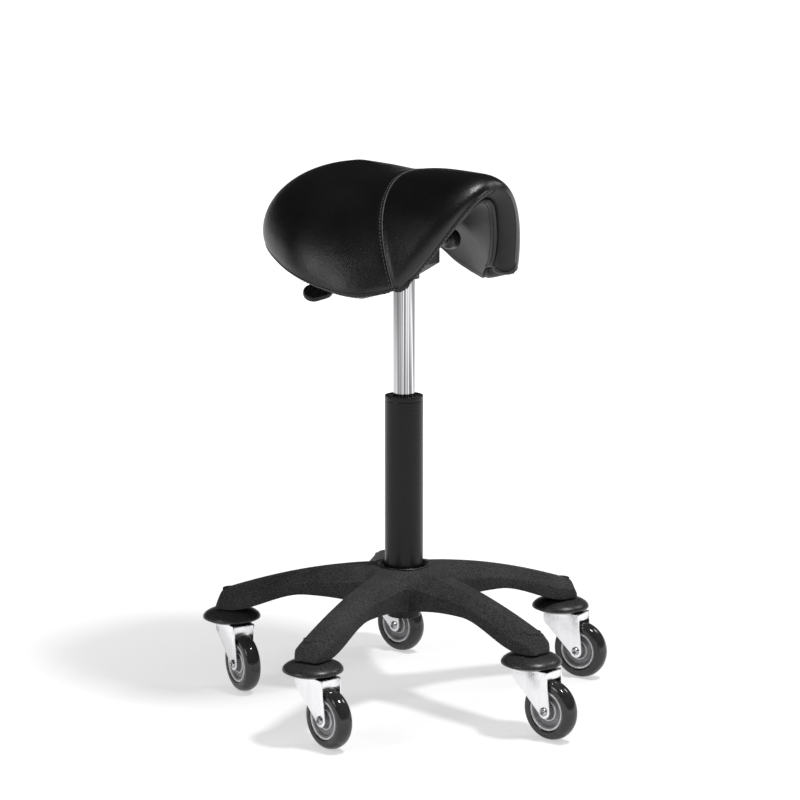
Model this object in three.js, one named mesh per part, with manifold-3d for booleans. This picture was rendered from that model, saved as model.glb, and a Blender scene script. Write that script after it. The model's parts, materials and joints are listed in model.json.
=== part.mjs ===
// Saddle stool on a five-arm swivel base: gas lift column, tilting saddle seat,
// release lever, tilt lock and five single-wheel casters.
// Millimetres. +Z is up, +X is the way the sitter faces, z = 0 is the floor.
import * as THREE from 'three';
import { mergeVertices } from 'three/addons/utils/BufferGeometryUtils.js';
import Module from 'manifold-3d';

const wasm = await Module();
wasm.setup();

// Overall
const SEAT_CREST_HEIGHT = 702;
const CASTER_CIRCLE_RADIUS = 234;
const COLUMN_RADIUS = 25;

// Shared fits
const CLEARANCE = 0.3;
const OVERRUN = 2;

// How many sides round things get
const LARGE_SIDES = 28;
const MEDIUM_SIDES = 18;
const SMALL_SIDES = 12;
const CORNER_SIDES = 5;
const SQUARED_SIDES = 20;
const SCREW_SIDES = 8;
const ROD_STEPS = 10;
const WHEEL_SEGMENTS = 16;

// Five-arm base
const ARM_COUNT = 5;
const FIRST_ARM_DEGREES = 67;
const HUB_TOP = 176.5;
const HUB_BOTTOM = 122;
const HUB_RADIUS = 46;
const HUB_CROWN_RADIUS = 37;
const HUB_KNEE_DROP = 26.5;
const ARM_ROOT_RADIUS = 30;
const ARM_FACET_PAST_PIN = 10.5;
const ARM_FACET_END_RADIUS = CASTER_CIRCLE_RADIUS + ARM_FACET_PAST_PIN;
const ARM_TIP_PAST_PIN = 19.5;
const ARM_TIP_RADIUS = CASTER_CIRCLE_RADIUS + ARM_TIP_PAST_PIN;
const ARM_TOP_DROP = 45.5;
const ARM_TIP_DROP = 20;
const ARM_END_BOTTOM = 108;
const ARM_ARCH_TOP = 133;
const ARM_ARCH_RADIUS = 130;
const ARM_HALF_WIDTH = 24;
const ARM_FACET_HALF_WIDTH = 9.5;
const ARM_TOP_POWER = 1.7;
const ARM_KNEE_RISE_SHARE = 0.52;
const ARM_KNEE_WIDTH_SHARE = 0.97;
const ARM_NOSE_SHARE = 0.6;
const ARM_WALL = 3;
const ARM_CAVITY_START_RADIUS = 50;
const ARM_RIB_THICKNESS = 2.4;
const ARM_CROSS_RIBS = 2;
const SOCKET_WALL = 6;
const SOCKET_ROOF = 5;

// Hub insert and column
const INSERT_LIP_RADIUS = 34;
const INSERT_LIP_HEIGHT = 4;
const INSERT_RADIUS = 30;
const INSERT_LIP_TOP = 178.5;
const COLUMN_WALL = 1.8;
const COLUMN_BOTTOM = 108.5;
const COLUMN_TAPER_RADIUS = 23.6;
const COLUMN_FOOT_RADIUS = 21.8;
const COLUMN_FOOT_HEIGHT = 10;
const COLUMN_FLOOR_THICKNESS = 3;
const BUSHING_LENGTH = 62;
const BUSHING_RECESS = 1.2;
const BEARING_HEIGHT = 5;
const BEARING_RADIUS = 13;
const BUMPER_RADIUS = 11;
const BUMPER_HEIGHT = 14;
const BUMPER_WAIST_SHARE = 0.85;
const CLIP_RADIUS = 8;
const CLIP_THICKNESS = 1.5;
const CLIP_GROOVE_DEPTH = 1;

// Seat mechanism, its heights measured down from the seat's crest
const PLATE_DROP = 55.5;
const PLATE_BOTTOM = SEAT_CREST_HEIGHT - PLATE_DROP;
const PLATE_THICKNESS = 3;
const PLATE_HALF_LENGTH = 68;
const PLATE_HALF_WIDTH = 34;
const EAR_THICKNESS = 3;
const EAR_HALF_LENGTH = 16;
const EAR_ROUND_RADIUS = 10;
const EAR_SLOPE_LENGTH = 24;
const TILT_AXIS_DROP = 14.5;
const TILT_AXIS_HEIGHT = PLATE_BOTTOM - TILT_AXIS_DROP;
const TILT_PIN_RADIUS = 4;
const TILT_PIN_HEAD_RADIUS = 6.5;
const TILT_PIN_HEAD_LENGTH = 3;
const TILT_LIMIT_DEGREES = 6;
const HOUSING_GAP = 6.5;
const HOUSING_TOP = PLATE_BOTTOM - HOUSING_GAP;
const HOUSING_DEPTH = 42;
const HOUSING_FLOOR = HOUSING_TOP - HOUSING_DEPTH;
const HOUSING_SHOULDER_DROP = 66;
const HOUSING_SHOULDER = HOUSING_TOP - HOUSING_SHOULDER_DROP;
const HOUSING_HEIGHT = 84;
const HOUSING_BOTTOM = HOUSING_TOP - HOUSING_HEIGHT;
const HOUSING_HALF_LENGTH = 40;
const HOUSING_HALF_WIDTH = 30;
const HOUSING_WALL = 3;
const HOUSING_COLLAR_RADIUS = 20;
const HOUSING_COLLAR_HEIGHT = 5;
const LOCK_X = 22;
const LOCK_DROP = 30;
const LOCK_HEIGHT = TILT_AXIS_HEIGHT - LOCK_DROP;
const LOCK_SCREW_RADIUS = 3.7;
const LOCK_BOSS_RADIUS = 8;
const LOCK_BOSS_DEPTH = 7;
const LOCK_WASHER_RADIUS = 9;
const LOCK_WASHER_THICKNESS = 1.5;
const KNOB_NECK_RADIUS = 7;
const KNOB_RADIUS = 13;
const KNOB_END = 74;
const KNOB_HEAD_LENGTH = 18;
const KNOB_BORE_DEPTH = 15;
const SCREW_X = 55;
const SCREW_Y = 27;
const SCREW_RADIUS = 2.5;
const SCREW_HEAD_RADIUS = 5;
const SCREW_HEAD_HEIGHT = 3.2;
const SCREW_LENGTH = 9;
const BOSS_RADIUS = 8;
const HEAD_CROWN_SHARE = 0.7;

// How round or squared-off a level outline is: 2 is a circle, more is squarer
const ROUND_POWER = 2;
const SOFT_SQUARE_POWER = 6;
const SQUARE_POWER = 8;

// Gas spring
const CYLINDER_RADIUS = 14;
const CYLINDER_TAPER_RADIUS = 13;
const CYLINDER_STAND = 5;
const CYLINDER_TOP = HOUSING_FLOOR + CYLINDER_STAND;
const CYLINDER_LENGTH = 258;
const CYLINDER_BOTTOM = CYLINDER_TOP - CYLINDER_LENGTH;
const TAPER_RISE = 4;
const TAPER_BOTTOM = HOUSING_BOTTOM + TAPER_RISE;
const CHROME_SHOWING = 153;
const COLUMN_TOP = HOUSING_BOTTOM - CHROME_SHOWING;
const LIFT_TRAVEL = 140;
const ROD_RADIUS = 5;
const JOURNAL_RADIUS = 4;
const ROD_HEADROOM = 30;
const ROD_TOP = CYLINDER_TOP - LIFT_TRAVEL - ROD_HEADROOM;
const ROD_END = 104.5;
const VALVE_PIN_RADIUS = 3.5;
const VALVE_PIN_STAND = 9;
const VALVE_PIN_TOP = CYLINDER_TOP + VALVE_PIN_STAND;
const VALVE_PIN_SUNK = 11;
const VALVE_PIN_TRAVEL = 3;

// Height release lever, in its own upright plane through the column axis
const LEVER_DEGREES = -112.2;
const LEVER_PIVOT_RADIUS = 18;
const LEVER_PIVOT_RISE = 9;
const LEVER_PIVOT_HEIGHT = HOUSING_FLOOR + LEVER_PIVOT_RISE;
const LEVER_HUB_RADIUS = 5;
const LEVER_HUB_HALF_WIDTH = 6;
const LEVER_FINGER_HALF_WIDTH = 4;
const LEVER_FINGER_THICKNESS = 4;
const LEVER_FINGER_TIP = 4;
const LEVER_ROD_RADIUS = 4;
const LEVER_ROD_EXIT = 40;
const LEVER_ROD_BEND = 62;
const LEVER_ROD_DIP = 88;
const LEVER_ROD_DIP_DROP = 36;
const LEVER_ROD_BEND_DROP = 9;
const LEVER_PIN_RADIUS = 2.5;
const LEVER_PIN_HALF_LENGTH = 10;
const LEVER_POST_THICKNESS = 3.5;
const LEVER_POST_HALF_LENGTH = 5;
const PADDLE_RADIUS = 121;
const PADDLE_DROP = 61;
const PADDLE_HEIGHT = LEVER_PIVOT_HEIGHT - PADDLE_DROP;
const PADDLE_HALF_LENGTH = 20;
const PADDLE_HALF_WIDTH = 13;
const PADDLE_THICKNESS = 8;
const PADDLE_BEVEL = 2;
const PADDLE_SLOPE_DEGREES = 12;
const PADDLE_ROLL_DEGREES = -35;
const PADDLE_GROOVES = 3;
const PADDLE_GROOVE_PITCH = 6;
const PADDLE_GROOVE_WIDTH = 2;
const PADDLE_GROOVE_DEPTH = 1;
const PADDLE_GROOVE_DEGREES = 40;

// Casters
const WHEEL_RADIUS = 38.5;
const WHEEL_HALF_WIDTH = 11;
const WHEEL_CORE_RADIUS = 25;
const WHEEL_WEB_RADIUS = 20;
const WHEEL_WEB_HALF_WIDTH = 6;
const WHEEL_HUB_RADIUS = 9;
const WHEEL_FACE_SHARE = 0.9;
const CASTER_TRAIL = 32.5;
const casterTrailDegrees = [8.5, 0.5, -19, -9, -0.5];
const HOOD_RIM_RADIUS = 38.6;
const HOOD_RIM_HEIGHT = 93.9;
const HOOD_CROWN_HEIGHT = 107.7;
const HOOD_SKIRT_HEIGHT = 90;
const HOOD_SKIRT_RADIUS = 31;
const HOOD_WALL = 2.6;
const HOOD_INNER_SHARE = 0.65;
const STEM_RADIUS = 5.5;
const STEM_HEAD_RADIUS = 9;
const STEM_HEAD_HEIGHT = 2.4;
const FORK_TOP = 89.6;
const FORK_THICKNESS = 2.4;
const FORK_LEAD = 19.5;
const FORK_TAIL = 35;
const FORK_LEAD_EDGE_HEIGHT = 16;
const FORK_FLARE = 3.2;
const FORK_EYE_RADIUS = 9;
const FORK_EYE_START_DEGREES = 203;
const FORK_BACK_HEIGHT = 11;
const FORK_RACE_RADIUS = 16;
const AXLE_RADIUS = 4;
const AXLE_HEAD_RADIUS = 5.5;
const AXLE_HEAD_LENGTH = 3;
const WHEEL_SIDE_GAP = 0.9;

// Saddle seat
const SEAT_LENGTH = 332;
const SEAT_HALF_WIDTH = 166;
const SEAT_DROP = 146;
const COVER_THICKNESS = 1.4;
const PAD_THICKNESS = 34;
const PAD_CREST_THICKNESS = 27;
const SHELL_THICKNESS = 5;
const LINER_THICKNESS = 2;
const SHELL_EDGE_RECESS = 2.4;
const FRONT_ROLL_RADIUS = 15;
const EDGE_BULGE = 2.5;
const FOOT_BULGE = 8;
const LINER_OPENING_HALF_LENGTH = 84;
const LINER_OPENING_HALF_WIDTH = 46;

// Where each line from the crest to the lower edge starts, ends and heads off, from the
// middle of the back round to the front arch. Columns: crest x, edge x (shares of the seat
// length), crest drop, edge drop (of the drop), edge y (of the half width), pull of the
// line at the crest (of the half width) and pull at the edge (of the drop).
const saddleLineShares = [
  [-0.211, -0.557, 0, 0.667, 0, 0.425, 0.353],
  [-0.194, -0.445, 0.002, 0.687, 0.613, 0.593, 0.324],
  [-0.129, -0.185, 0.023, 0.84, 0.945, 0.56, 0.446],
  [-0.001, 0.005, 0.047, 0.959, 0.97, 0.562, 0.43],
  [0.184, 0.142, 0.007, 1, 0.888, 0.539, 0.233],
  [0.453, 0.283, 0.041, 0.966, 0.7, 0.42, 0.192],
];
// The same lines' turn at the crest, and their turn and rise at the edge
const saddleLineDegrees = [
  [180, 180, 85],
  [148, 144, 107],
  [115, 113, 93],
  [95, 102, 80],
  [92, 118, 68],
  [82, 150, 30],
];
const FRONT_ROLL_START_SHARE = 0.93;
const INNER_FRONT_SHARE = 0.97;
const SEAM_CREST_SHARE = 0.687;
const SEAM_FOOT_SHARE = 0.99;
const SEAM_CURVE_POWER = 1.88;
const SEAM_GAP_SHARE = 0.0014;
const CREST_THIN_SHARE = 0.45;
const FRONT_THIN_SHARE = 0.4;
const CORNER_SHARE = 0.15;
const CORNER_TURN_SHARE = 0.5;
const ROLL_END_POWER = 6;
const STEP_SHARE = 0.001;
const CREST_STEP_SHARE = 0.06;
const REAR_COLUMNS = 8;
const FRONT_COLUMNS = 5;
const SADDLE_ROWS = 7;
const EDGE_ROWS = 2;

const rad = THREE.MathUtils.degToRad;

// Materials
function finish(color, roughness, metalness) {
  return new THREE.MeshStandardMaterial({ color, roughness, metalness });
}
const blackNylon = finish(0x2b2c2e, 0.6, 0);
const blackPaint = finish(0x18191b, 0.35, 0.4);
const brightSteel = finish(0xd5d7da, 0.15, 1);
const zincSteel = finish(0xc6c9cc, 0.3, 0.9);
const blackLeather = finish(0x1c1c1e, 0.5, 0);
const bandLeather = finish(0x3a3b3d, 0.5, 0);
const linerVinyl = finish(0x55575a, 0.6, 0);
const foam = finish(0xd8cfa8, 0.9, 0);
const shellPlastic = finish(0x3b3c3e, 0.7, 0);
const greyPlastic = finish(0x6f7275, 0.5, 0);
const smokyTread = finish(0x55575b, 0.25, 0);
const clearCore = finish(0xb9bcc0, 0.2, 0);
const hoodPlastic = finish(0x1e1f21, 0.35, 0);
const rubber = finish(0x202020, 0.9, 0);

// Turns a closed geometry into a solid for joining and cutting
function solidOf(geometry) {
  const bare = new THREE.BufferGeometry();
  bare.setAttribute('position', geometry.getAttribute('position').clone());
  bare.setIndex(geometry.index ? geometry.index.clone() : null);
  const welded = mergeVertices(bare);
  const corners = welded.index.array;
  const kept = [];
  for (let at = 0; at < corners.length; at += 3) {
    const [a, b, c] = [corners[at], corners[at + 1], corners[at + 2]];
    if (a !== b && b !== c && a !== c) kept.push(a, b, c);
  }
  return new wasm.Manifold(new wasm.Mesh({
    numProp: 3,
    vertProperties: new Float32Array(welded.getAttribute('position').array),
    triVerts: new Uint32Array(kept),
  }));
}

function geometryOf(solid) {
  const mesh = solid.getMesh();
  const geometry = new THREE.BufferGeometry();
  geometry.setAttribute('position', new THREE.BufferAttribute(new Float32Array(mesh.vertProperties), 3));
  geometry.setIndex(Array.from(mesh.triVerts));
  geometry.computeVertexNormals();
  return geometry;
}

function join(...pieces) {
  return geometryOf(pieces.map(solidOf).reduce((whole, piece) => whole.add(piece)));
}

function cut(body, ...tools) {
  return geometryOf(tools.map(solidOf).reduce((rest, tool) => rest.subtract(tool), solidOf(body)));
}

function common(first, second) {
  return geometryOf(solidOf(first).intersect(solidOf(second)));
}

// A profile of [radius, height] points turned about Y, or about Z when stood upright.
// The points run anticlockwise, up the outside; a ring's profile closes on itself.
function turned(profile, segments, start = 0) {
  const points = profile.map(([radius, height]) => new THREE.Vector2(radius, height));
  if (profile[0][0] > 0) points.push(points[0].clone());
  return new THREE.LatheGeometry(points, segments, start);
}

function upright(profile, segments, start = 0) {
  return turned(profile, segments, start).rotateX(Math.PI / 2);
}

function tube(inner, outer, bottom, top, segments) {
  return upright([[inner, bottom], [outer, bottom], [outer, top], [inner, top]], segments);
}

function disc(radius, bottom, top, segments) {
  return upright([[0, bottom], [radius, bottom], [radius, top], [0, top]], segments);
}

function pinAlongY(radius, from, to, segments) {
  return turned([[0, from], [radius, from], [radius, to], [0, to]], segments);
}

function block(xMin, xMax, yMin, yMax, zMin, zMax) {
  return new THREE.BoxGeometry(xMax - xMin, yMax - yMin, zMax - zMin)
    .translate((xMin + xMax) / 2, (yMin + yMax) / 2, (zMin + zMax) / 2);
}

// An outline drawn in x and z, thickened along Y from one place to another
function upstanding(shape, yMin, yMax, curveSegments) {
  return new THREE.ExtrudeGeometry(shape, { depth: yMax - yMin, bevelEnabled: false, curveSegments })
    .rotateX(Math.PI / 2)
    .translate(0, yMax, 0);
}

// Triangles of a grid of points, turned over where the piece's inside lies beyond it
function addGrid(grid, flip, positions) {
  for (let i = 0; i + 1 < grid.length; i += 1) {
    for (let j = 0; j + 1 < grid[i].length; j += 1) {
      const corners = [grid[i][j], grid[i + 1][j], grid[i + 1][j + 1], grid[i][j + 1]];
      const order = flip ? [0, 2, 1, 0, 3, 2] : [0, 1, 2, 0, 2, 3];
      for (const k of order) positions.push(...corners[k].toArray());
    }
  }
}

function geometryFromPositions(positions) {
  const geometry = new THREE.BufferGeometry();
  geometry.setAttribute('position', new THREE.Float32BufferAttribute(positions, 3));
  return geometry;
}

// Rings of points, lowest or innermost first, skinned and capped at both ends
function loft(rings) {
  const positions = [];
  addGrid(rings.map((ring) => [...ring, ring[0]]), true, positions);
  for (const [ring, flip] of [[rings[0], true], [rings[rings.length - 1], false]]) {
    const middle = ring.reduce((sum, point) => sum.add(point), new THREE.Vector3())
      .divideScalar(ring.length);
    ring.forEach((point, k) => {
      const next = ring[(k + 1) % ring.length];
      const corners = flip ? [middle, next, point] : [middle, point, next];
      for (const corner of corners) positions.push(...corner.toArray());
    });
  }
  return geometryFromPositions(positions);
}

// Runs from 0 to 1 with level ends
function smooth(share) {
  const t = Math.min(Math.max(share, 0), 1);
  return t * t * (3 - 2 * t);
}

function named(name, geometry, material) {
  const mesh = new THREE.Mesh(geometry, material);
  mesh.name = name;
  return mesh;
}

// Base

function armTop(radius) {
  const share = (radius - ARM_ROOT_RADIUS) / (ARM_FACET_END_RADIUS - ARM_ROOT_RADIUS);
  return HUB_TOP - ARM_TOP_DROP * Math.pow(share, ARM_TOP_POWER);
}

// The arch under the arm rises from the hub's foot and falls to the arm's end
function armBottom(radius) {
  if (radius < ARM_ARCH_RADIUS) {
    const share = Math.min(1, (ARM_ARCH_RADIUS - radius) / (ARM_ARCH_RADIUS - HUB_RADIUS));
    return ARM_ARCH_TOP - (ARM_ARCH_TOP - HUB_BOTTOM) * share * share;
  }
  const share = (radius - ARM_ARCH_RADIUS) / (CASTER_CIRCLE_RADIUS - ARM_ARCH_RADIUS);
  return ARM_ARCH_TOP - (ARM_ARCH_TOP - ARM_END_BOTTOM) * smooth(share);
}

// Half widths along the arm, and round its nose, as shares of its half width
const armStationShares = [0, 0.1, 0.25, 0.5, 0.78, 0.93, 1];
const armWidthShares = [1.45, 1.26, 1, 0.91, 0.95, 0.95, 0.78];
const armNoseWidthShares = [0.66, 0.48];

// One cross-section of the arm: lower corners, knees and the edges of the flat top facet
function armRing(radius, halfWidth, facetHalfWidth, bottom, top) {
  const knee = bottom + (top - bottom) * ARM_KNEE_RISE_SHARE;
  const kneeWidth = halfWidth * ARM_KNEE_WIDTH_SHARE;
  const outline = [
    [halfWidth, bottom], [kneeWidth, knee], [facetHalfWidth, top],
    [-facetHalfWidth, top], [-kneeWidth, knee], [-halfWidth, bottom],
  ];
  return outline.map(([y, z]) => new THREE.Vector3(radius, y, z));
}

function armBody(inset) {
  const rings = armStationShares.map((share, k) => {
    const radius = ARM_ROOT_RADIUS + (ARM_FACET_END_RADIUS - ARM_ROOT_RADIUS) * share;
    return armRing(radius, ARM_HALF_WIDTH * armWidthShares[k] - inset,
      ARM_FACET_HALF_WIDTH * Math.max(1, armWidthShares[k]) - inset / 2,
      inset > 0 ? armBottom(radius) - OVERRUN : armBottom(radius), armTop(radius) - inset);
  });
  if (inset === 0) {
    const top = armTop(ARM_FACET_END_RADIUS);
    const nose = ARM_TIP_RADIUS - ARM_FACET_END_RADIUS;
    [ARM_NOSE_SHARE, 1].forEach((share, k) => {
      rings.push(armRing(ARM_FACET_END_RADIUS + nose * share, ARM_HALF_WIDTH * armNoseWidthShares[k],
        ARM_FACET_HALF_WIDTH, ARM_END_BOTTOM, top - ARM_TIP_DROP * share));
    });
  }
  return loft(rings);
}

// Ribs under the arm: one along it and a few across, inside its own outline
function armRibs() {
  const half = ARM_RIB_THICKNESS / 2;
  const floor = armBottom(CASTER_CIRCLE_RADIUS) - OVERRUN;
  const ribs = [block(ARM_CAVITY_START_RADIUS - OVERRUN, CASTER_CIRCLE_RADIUS, -half, half, floor, HUB_TOP)];
  const span = CASTER_CIRCLE_RADIUS - SOCKET_WALL - STEM_RADIUS - ARM_CAVITY_START_RADIUS;
  for (let k = 1; k <= ARM_CROSS_RIBS; k += 1) {
    const at = ARM_CAVITY_START_RADIUS + span * k / (ARM_CROSS_RIBS + 1);
    ribs.push(block(at - half, at + half, -ARM_HALF_WIDTH, ARM_HALF_WIDTH, floor, HUB_TOP));
  }
  const socket = STEM_RADIUS + CLEARANCE + SOCKET_WALL;
  ribs.push(disc(socket, floor, HUB_TOP, SMALL_SIDES).translate(CASTER_CIRCLE_RADIUS, 0, 0));
  return common(join(...ribs), armBody(0));
}

function arm() {
  const outer = armBody(0);
  const start = block(ARM_CAVITY_START_RADIUS, ARM_TIP_RADIUS, -HUB_RADIUS, HUB_RADIUS, 0, HUB_TOP);
  const hollow = common(armBody(ARM_WALL), start);
  return join(cut(outer, hollow), armRibs());
}

function stemTop() {
  return armTop(CASTER_CIRCLE_RADIUS) - SOCKET_ROOF - CLEARANCE;
}

function starBase() {
  let body = upright([
    [0, HUB_BOTTOM], [HUB_RADIUS, HUB_BOTTOM], [HUB_RADIUS, HUB_TOP - HUB_KNEE_DROP],
    [HUB_CROWN_RADIUS, HUB_TOP], [0, HUB_TOP],
  ], LARGE_SIDES);
  const bores = [disc(INSERT_RADIUS + CLEARANCE, HUB_BOTTOM - OVERRUN, HUB_TOP + OVERRUN, LARGE_SIDES)];
  for (let k = 0; k < ARM_COUNT; k += 1) {
    const turn = rad(FIRST_ARM_DEGREES + k * 360 / ARM_COUNT);
    body = join(body, arm().rotateZ(turn));
    bores.push(disc(STEM_RADIUS + CLEARANCE, 0, stemTop() + CLEARANCE, SMALL_SIDES)
      .translate(CASTER_CIRCLE_RADIUS, 0, 0).rotateZ(turn));
  }
  return cut(body, ...bores);
}

// Steel insert in the hub, with the bright lip that shows round the column
function hubInsert() {
  const lipBottom = HUB_TOP + CLEARANCE;
  const lipRound = (INSERT_LIP_TOP - lipBottom) / 2;
  const bore = COLUMN_RADIUS + CLEARANCE;
  return upright([
    [bore - (COLUMN_RADIUS - COLUMN_TAPER_RADIUS), HUB_BOTTOM],
    [INSERT_RADIUS, HUB_BOTTOM], [INSERT_RADIUS, lipBottom],
    [INSERT_LIP_RADIUS - lipRound, lipBottom], [INSERT_LIP_RADIUS, lipBottom + lipRound],
    [INSERT_LIP_RADIUS - lipRound, INSERT_LIP_TOP],
    [INSERT_RADIUS - lipRound, INSERT_LIP_TOP - lipRound],
    [bore + INSERT_LIP_HEIGHT / 2, HUB_TOP - INSERT_LIP_HEIGHT / 2],
    [bore, HUB_TOP - INSERT_LIP_HEIGHT],
  ], LARGE_SIDES);
}

// Column

function columnTube() {
  const floorTop = COLUMN_BOTTOM + COLUMN_FLOOR_THICKNESS;
  const taperTop = HUB_TOP - INSERT_LIP_HEIGHT;
  const footTop = COLUMN_BOTTOM + COLUMN_FOOT_HEIGHT;
  const lip = COLUMN_WALL / 3;
  return upright([
    [JOURNAL_RADIUS + CLEARANCE, COLUMN_BOTTOM], [COLUMN_FOOT_RADIUS, COLUMN_BOTTOM],
    [COLUMN_FOOT_RADIUS, footTop], [COLUMN_TAPER_RADIUS, HUB_BOTTOM], [COLUMN_RADIUS, taperTop],
    [COLUMN_RADIUS, COLUMN_TOP - lip], [COLUMN_RADIUS - lip, COLUMN_TOP],
    [COLUMN_RADIUS - COLUMN_WALL, COLUMN_TOP], [COLUMN_RADIUS - COLUMN_WALL, taperTop],
    [COLUMN_FOOT_RADIUS - COLUMN_WALL, footTop], [COLUMN_FOOT_RADIUS - COLUMN_WALL, floorTop],
    [JOURNAL_RADIUS + CLEARANCE, floorTop],
  ], LARGE_SIDES);
}

function guideBushing() {
  const top = COLUMN_TOP - BUSHING_RECESS;
  const outer = COLUMN_RADIUS - COLUMN_WALL - CLEARANCE;
  const inner = CYLINDER_RADIUS + CLEARANCE;
  const chamfer = (outer - inner) / 4;
  return upright([
    [inner, top - BUSHING_LENGTH], [outer, top - BUSHING_LENGTH], [outer, top],
    [inner + chamfer, top], [inner, top - chamfer],
  ], LARGE_SIDES);
}

function bearingBottom() {
  return COLUMN_BOTTOM + COLUMN_FLOOR_THICKNESS + CLEARANCE;
}

function rodShoulder() {
  return bearingBottom() + BEARING_HEIGHT + CLEARANCE;
}

function thrustBearing() {
  return tube(JOURNAL_RADIUS + CLEARANCE, BEARING_RADIUS, bearingBottom(), bearingBottom() + BEARING_HEIGHT,
    SMALL_SIDES);
}

function rubberBumper() {
  const bottom = rodShoulder();
  const waist = BUMPER_RADIUS * BUMPER_WAIST_SHARE;
  const inner = ROD_RADIUS + CLEARANCE;
  return upright([
    [inner, bottom], [BUMPER_RADIUS, bottom], [waist, bottom + BUMPER_HEIGHT / 2],
    [BUMPER_RADIUS, bottom + BUMPER_HEIGHT], [inner, bottom + BUMPER_HEIGHT],
  ], SMALL_SIDES);
}

function clipTop() {
  return COLUMN_BOTTOM - CLEARANCE;
}

function retainingClip() {
  return tube(JOURNAL_RADIUS - CLIP_GROOVE_DEPTH + CLEARANCE, CLIP_RADIUS,
    clipTop() - CLIP_THICKNESS, clipTop(), SMALL_SIDES);
}

function pistonRod() {
  const groove = JOURNAL_RADIUS - CLIP_GROOVE_DEPTH;
  const grooveBottom = clipTop() - CLIP_THICKNESS - CLEARANCE;
  const grooveTop = clipTop() + CLEARANCE / 2;
  return upright([
    [0, ROD_END], [JOURNAL_RADIUS, ROD_END], [JOURNAL_RADIUS, grooveBottom], [groove, grooveBottom],
    [groove, grooveTop], [JOURNAL_RADIUS, grooveTop], [JOURNAL_RADIUS, rodShoulder() - CLEARANCE / 2],
    [ROD_RADIUS, rodShoulder() - CLEARANCE / 2], [ROD_RADIUS, ROD_TOP], [0, ROD_TOP],
  ], SMALL_SIDES);
}

// Gas spring

function gasCylinder() {
  const body = upright([
    [0, CYLINDER_BOTTOM], [CYLINDER_RADIUS, CYLINDER_BOTTOM], [CYLINDER_RADIUS, TAPER_BOTTOM],
    [CYLINDER_TAPER_RADIUS, CYLINDER_TOP], [0, CYLINDER_TOP],
  ], LARGE_SIDES);
  const rodBore = disc(ROD_RADIUS + CLEARANCE, CYLINDER_BOTTOM - OVERRUN,
    ROD_TOP + LIFT_TRAVEL + CLEARANCE, SMALL_SIDES);
  const pinBore = disc(VALVE_PIN_RADIUS + CLEARANCE, CYLINDER_TOP - VALVE_PIN_SUNK - VALVE_PIN_TRAVEL,
    CYLINDER_TOP + OVERRUN, SMALL_SIDES);
  return cut(body, rodBore, pinBore);
}

function valvePin() {
  return disc(VALVE_PIN_RADIUS, CYLINDER_TOP - VALVE_PIN_SUNK, VALVE_PIN_TOP, SMALL_SIDES);
}

// Seat mechanism

// A level ring that goes from round to squared-off as its power rises
function squaredRing(halfLength, halfWidth, power, height) {
  return Array.from({ length: SQUARED_SIDES }, (_, k) => {
    const turn = (k + 0.5) * 2 * Math.PI / SQUARED_SIDES;
    const c = Math.cos(turn);
    const s = Math.sin(turn);
    return new THREE.Vector3(
      halfLength * Math.sign(c) * Math.pow(Math.abs(c), 2 / power),
      halfWidth * Math.sign(s) * Math.pow(Math.abs(s), 2 / power),
      height);
  });
}

function housingOuter() {
  const soften = HOUSING_WALL;
  return loft([
    squaredRing(HOUSING_COLLAR_RADIUS, HOUSING_COLLAR_RADIUS, ROUND_POWER, HOUSING_BOTTOM),
    squaredRing(HOUSING_COLLAR_RADIUS, HOUSING_COLLAR_RADIUS, ROUND_POWER,
      HOUSING_BOTTOM + HOUSING_COLLAR_HEIGHT),
    squaredRing(HOUSING_HALF_LENGTH - soften, HOUSING_HALF_WIDTH - soften, SOFT_SQUARE_POWER,
      HOUSING_SHOULDER),
    squaredRing(HOUSING_HALF_LENGTH, HOUSING_HALF_WIDTH, SQUARE_POWER, HOUSING_SHOULDER + soften),
    squaredRing(HOUSING_HALF_LENGTH, HOUSING_HALF_WIDTH, SQUARE_POWER, HOUSING_TOP),
  ]);
}

function leverTurn(geometry) {
  return geometry.rotateZ(rad(LEVER_DEGREES));
}

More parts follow.
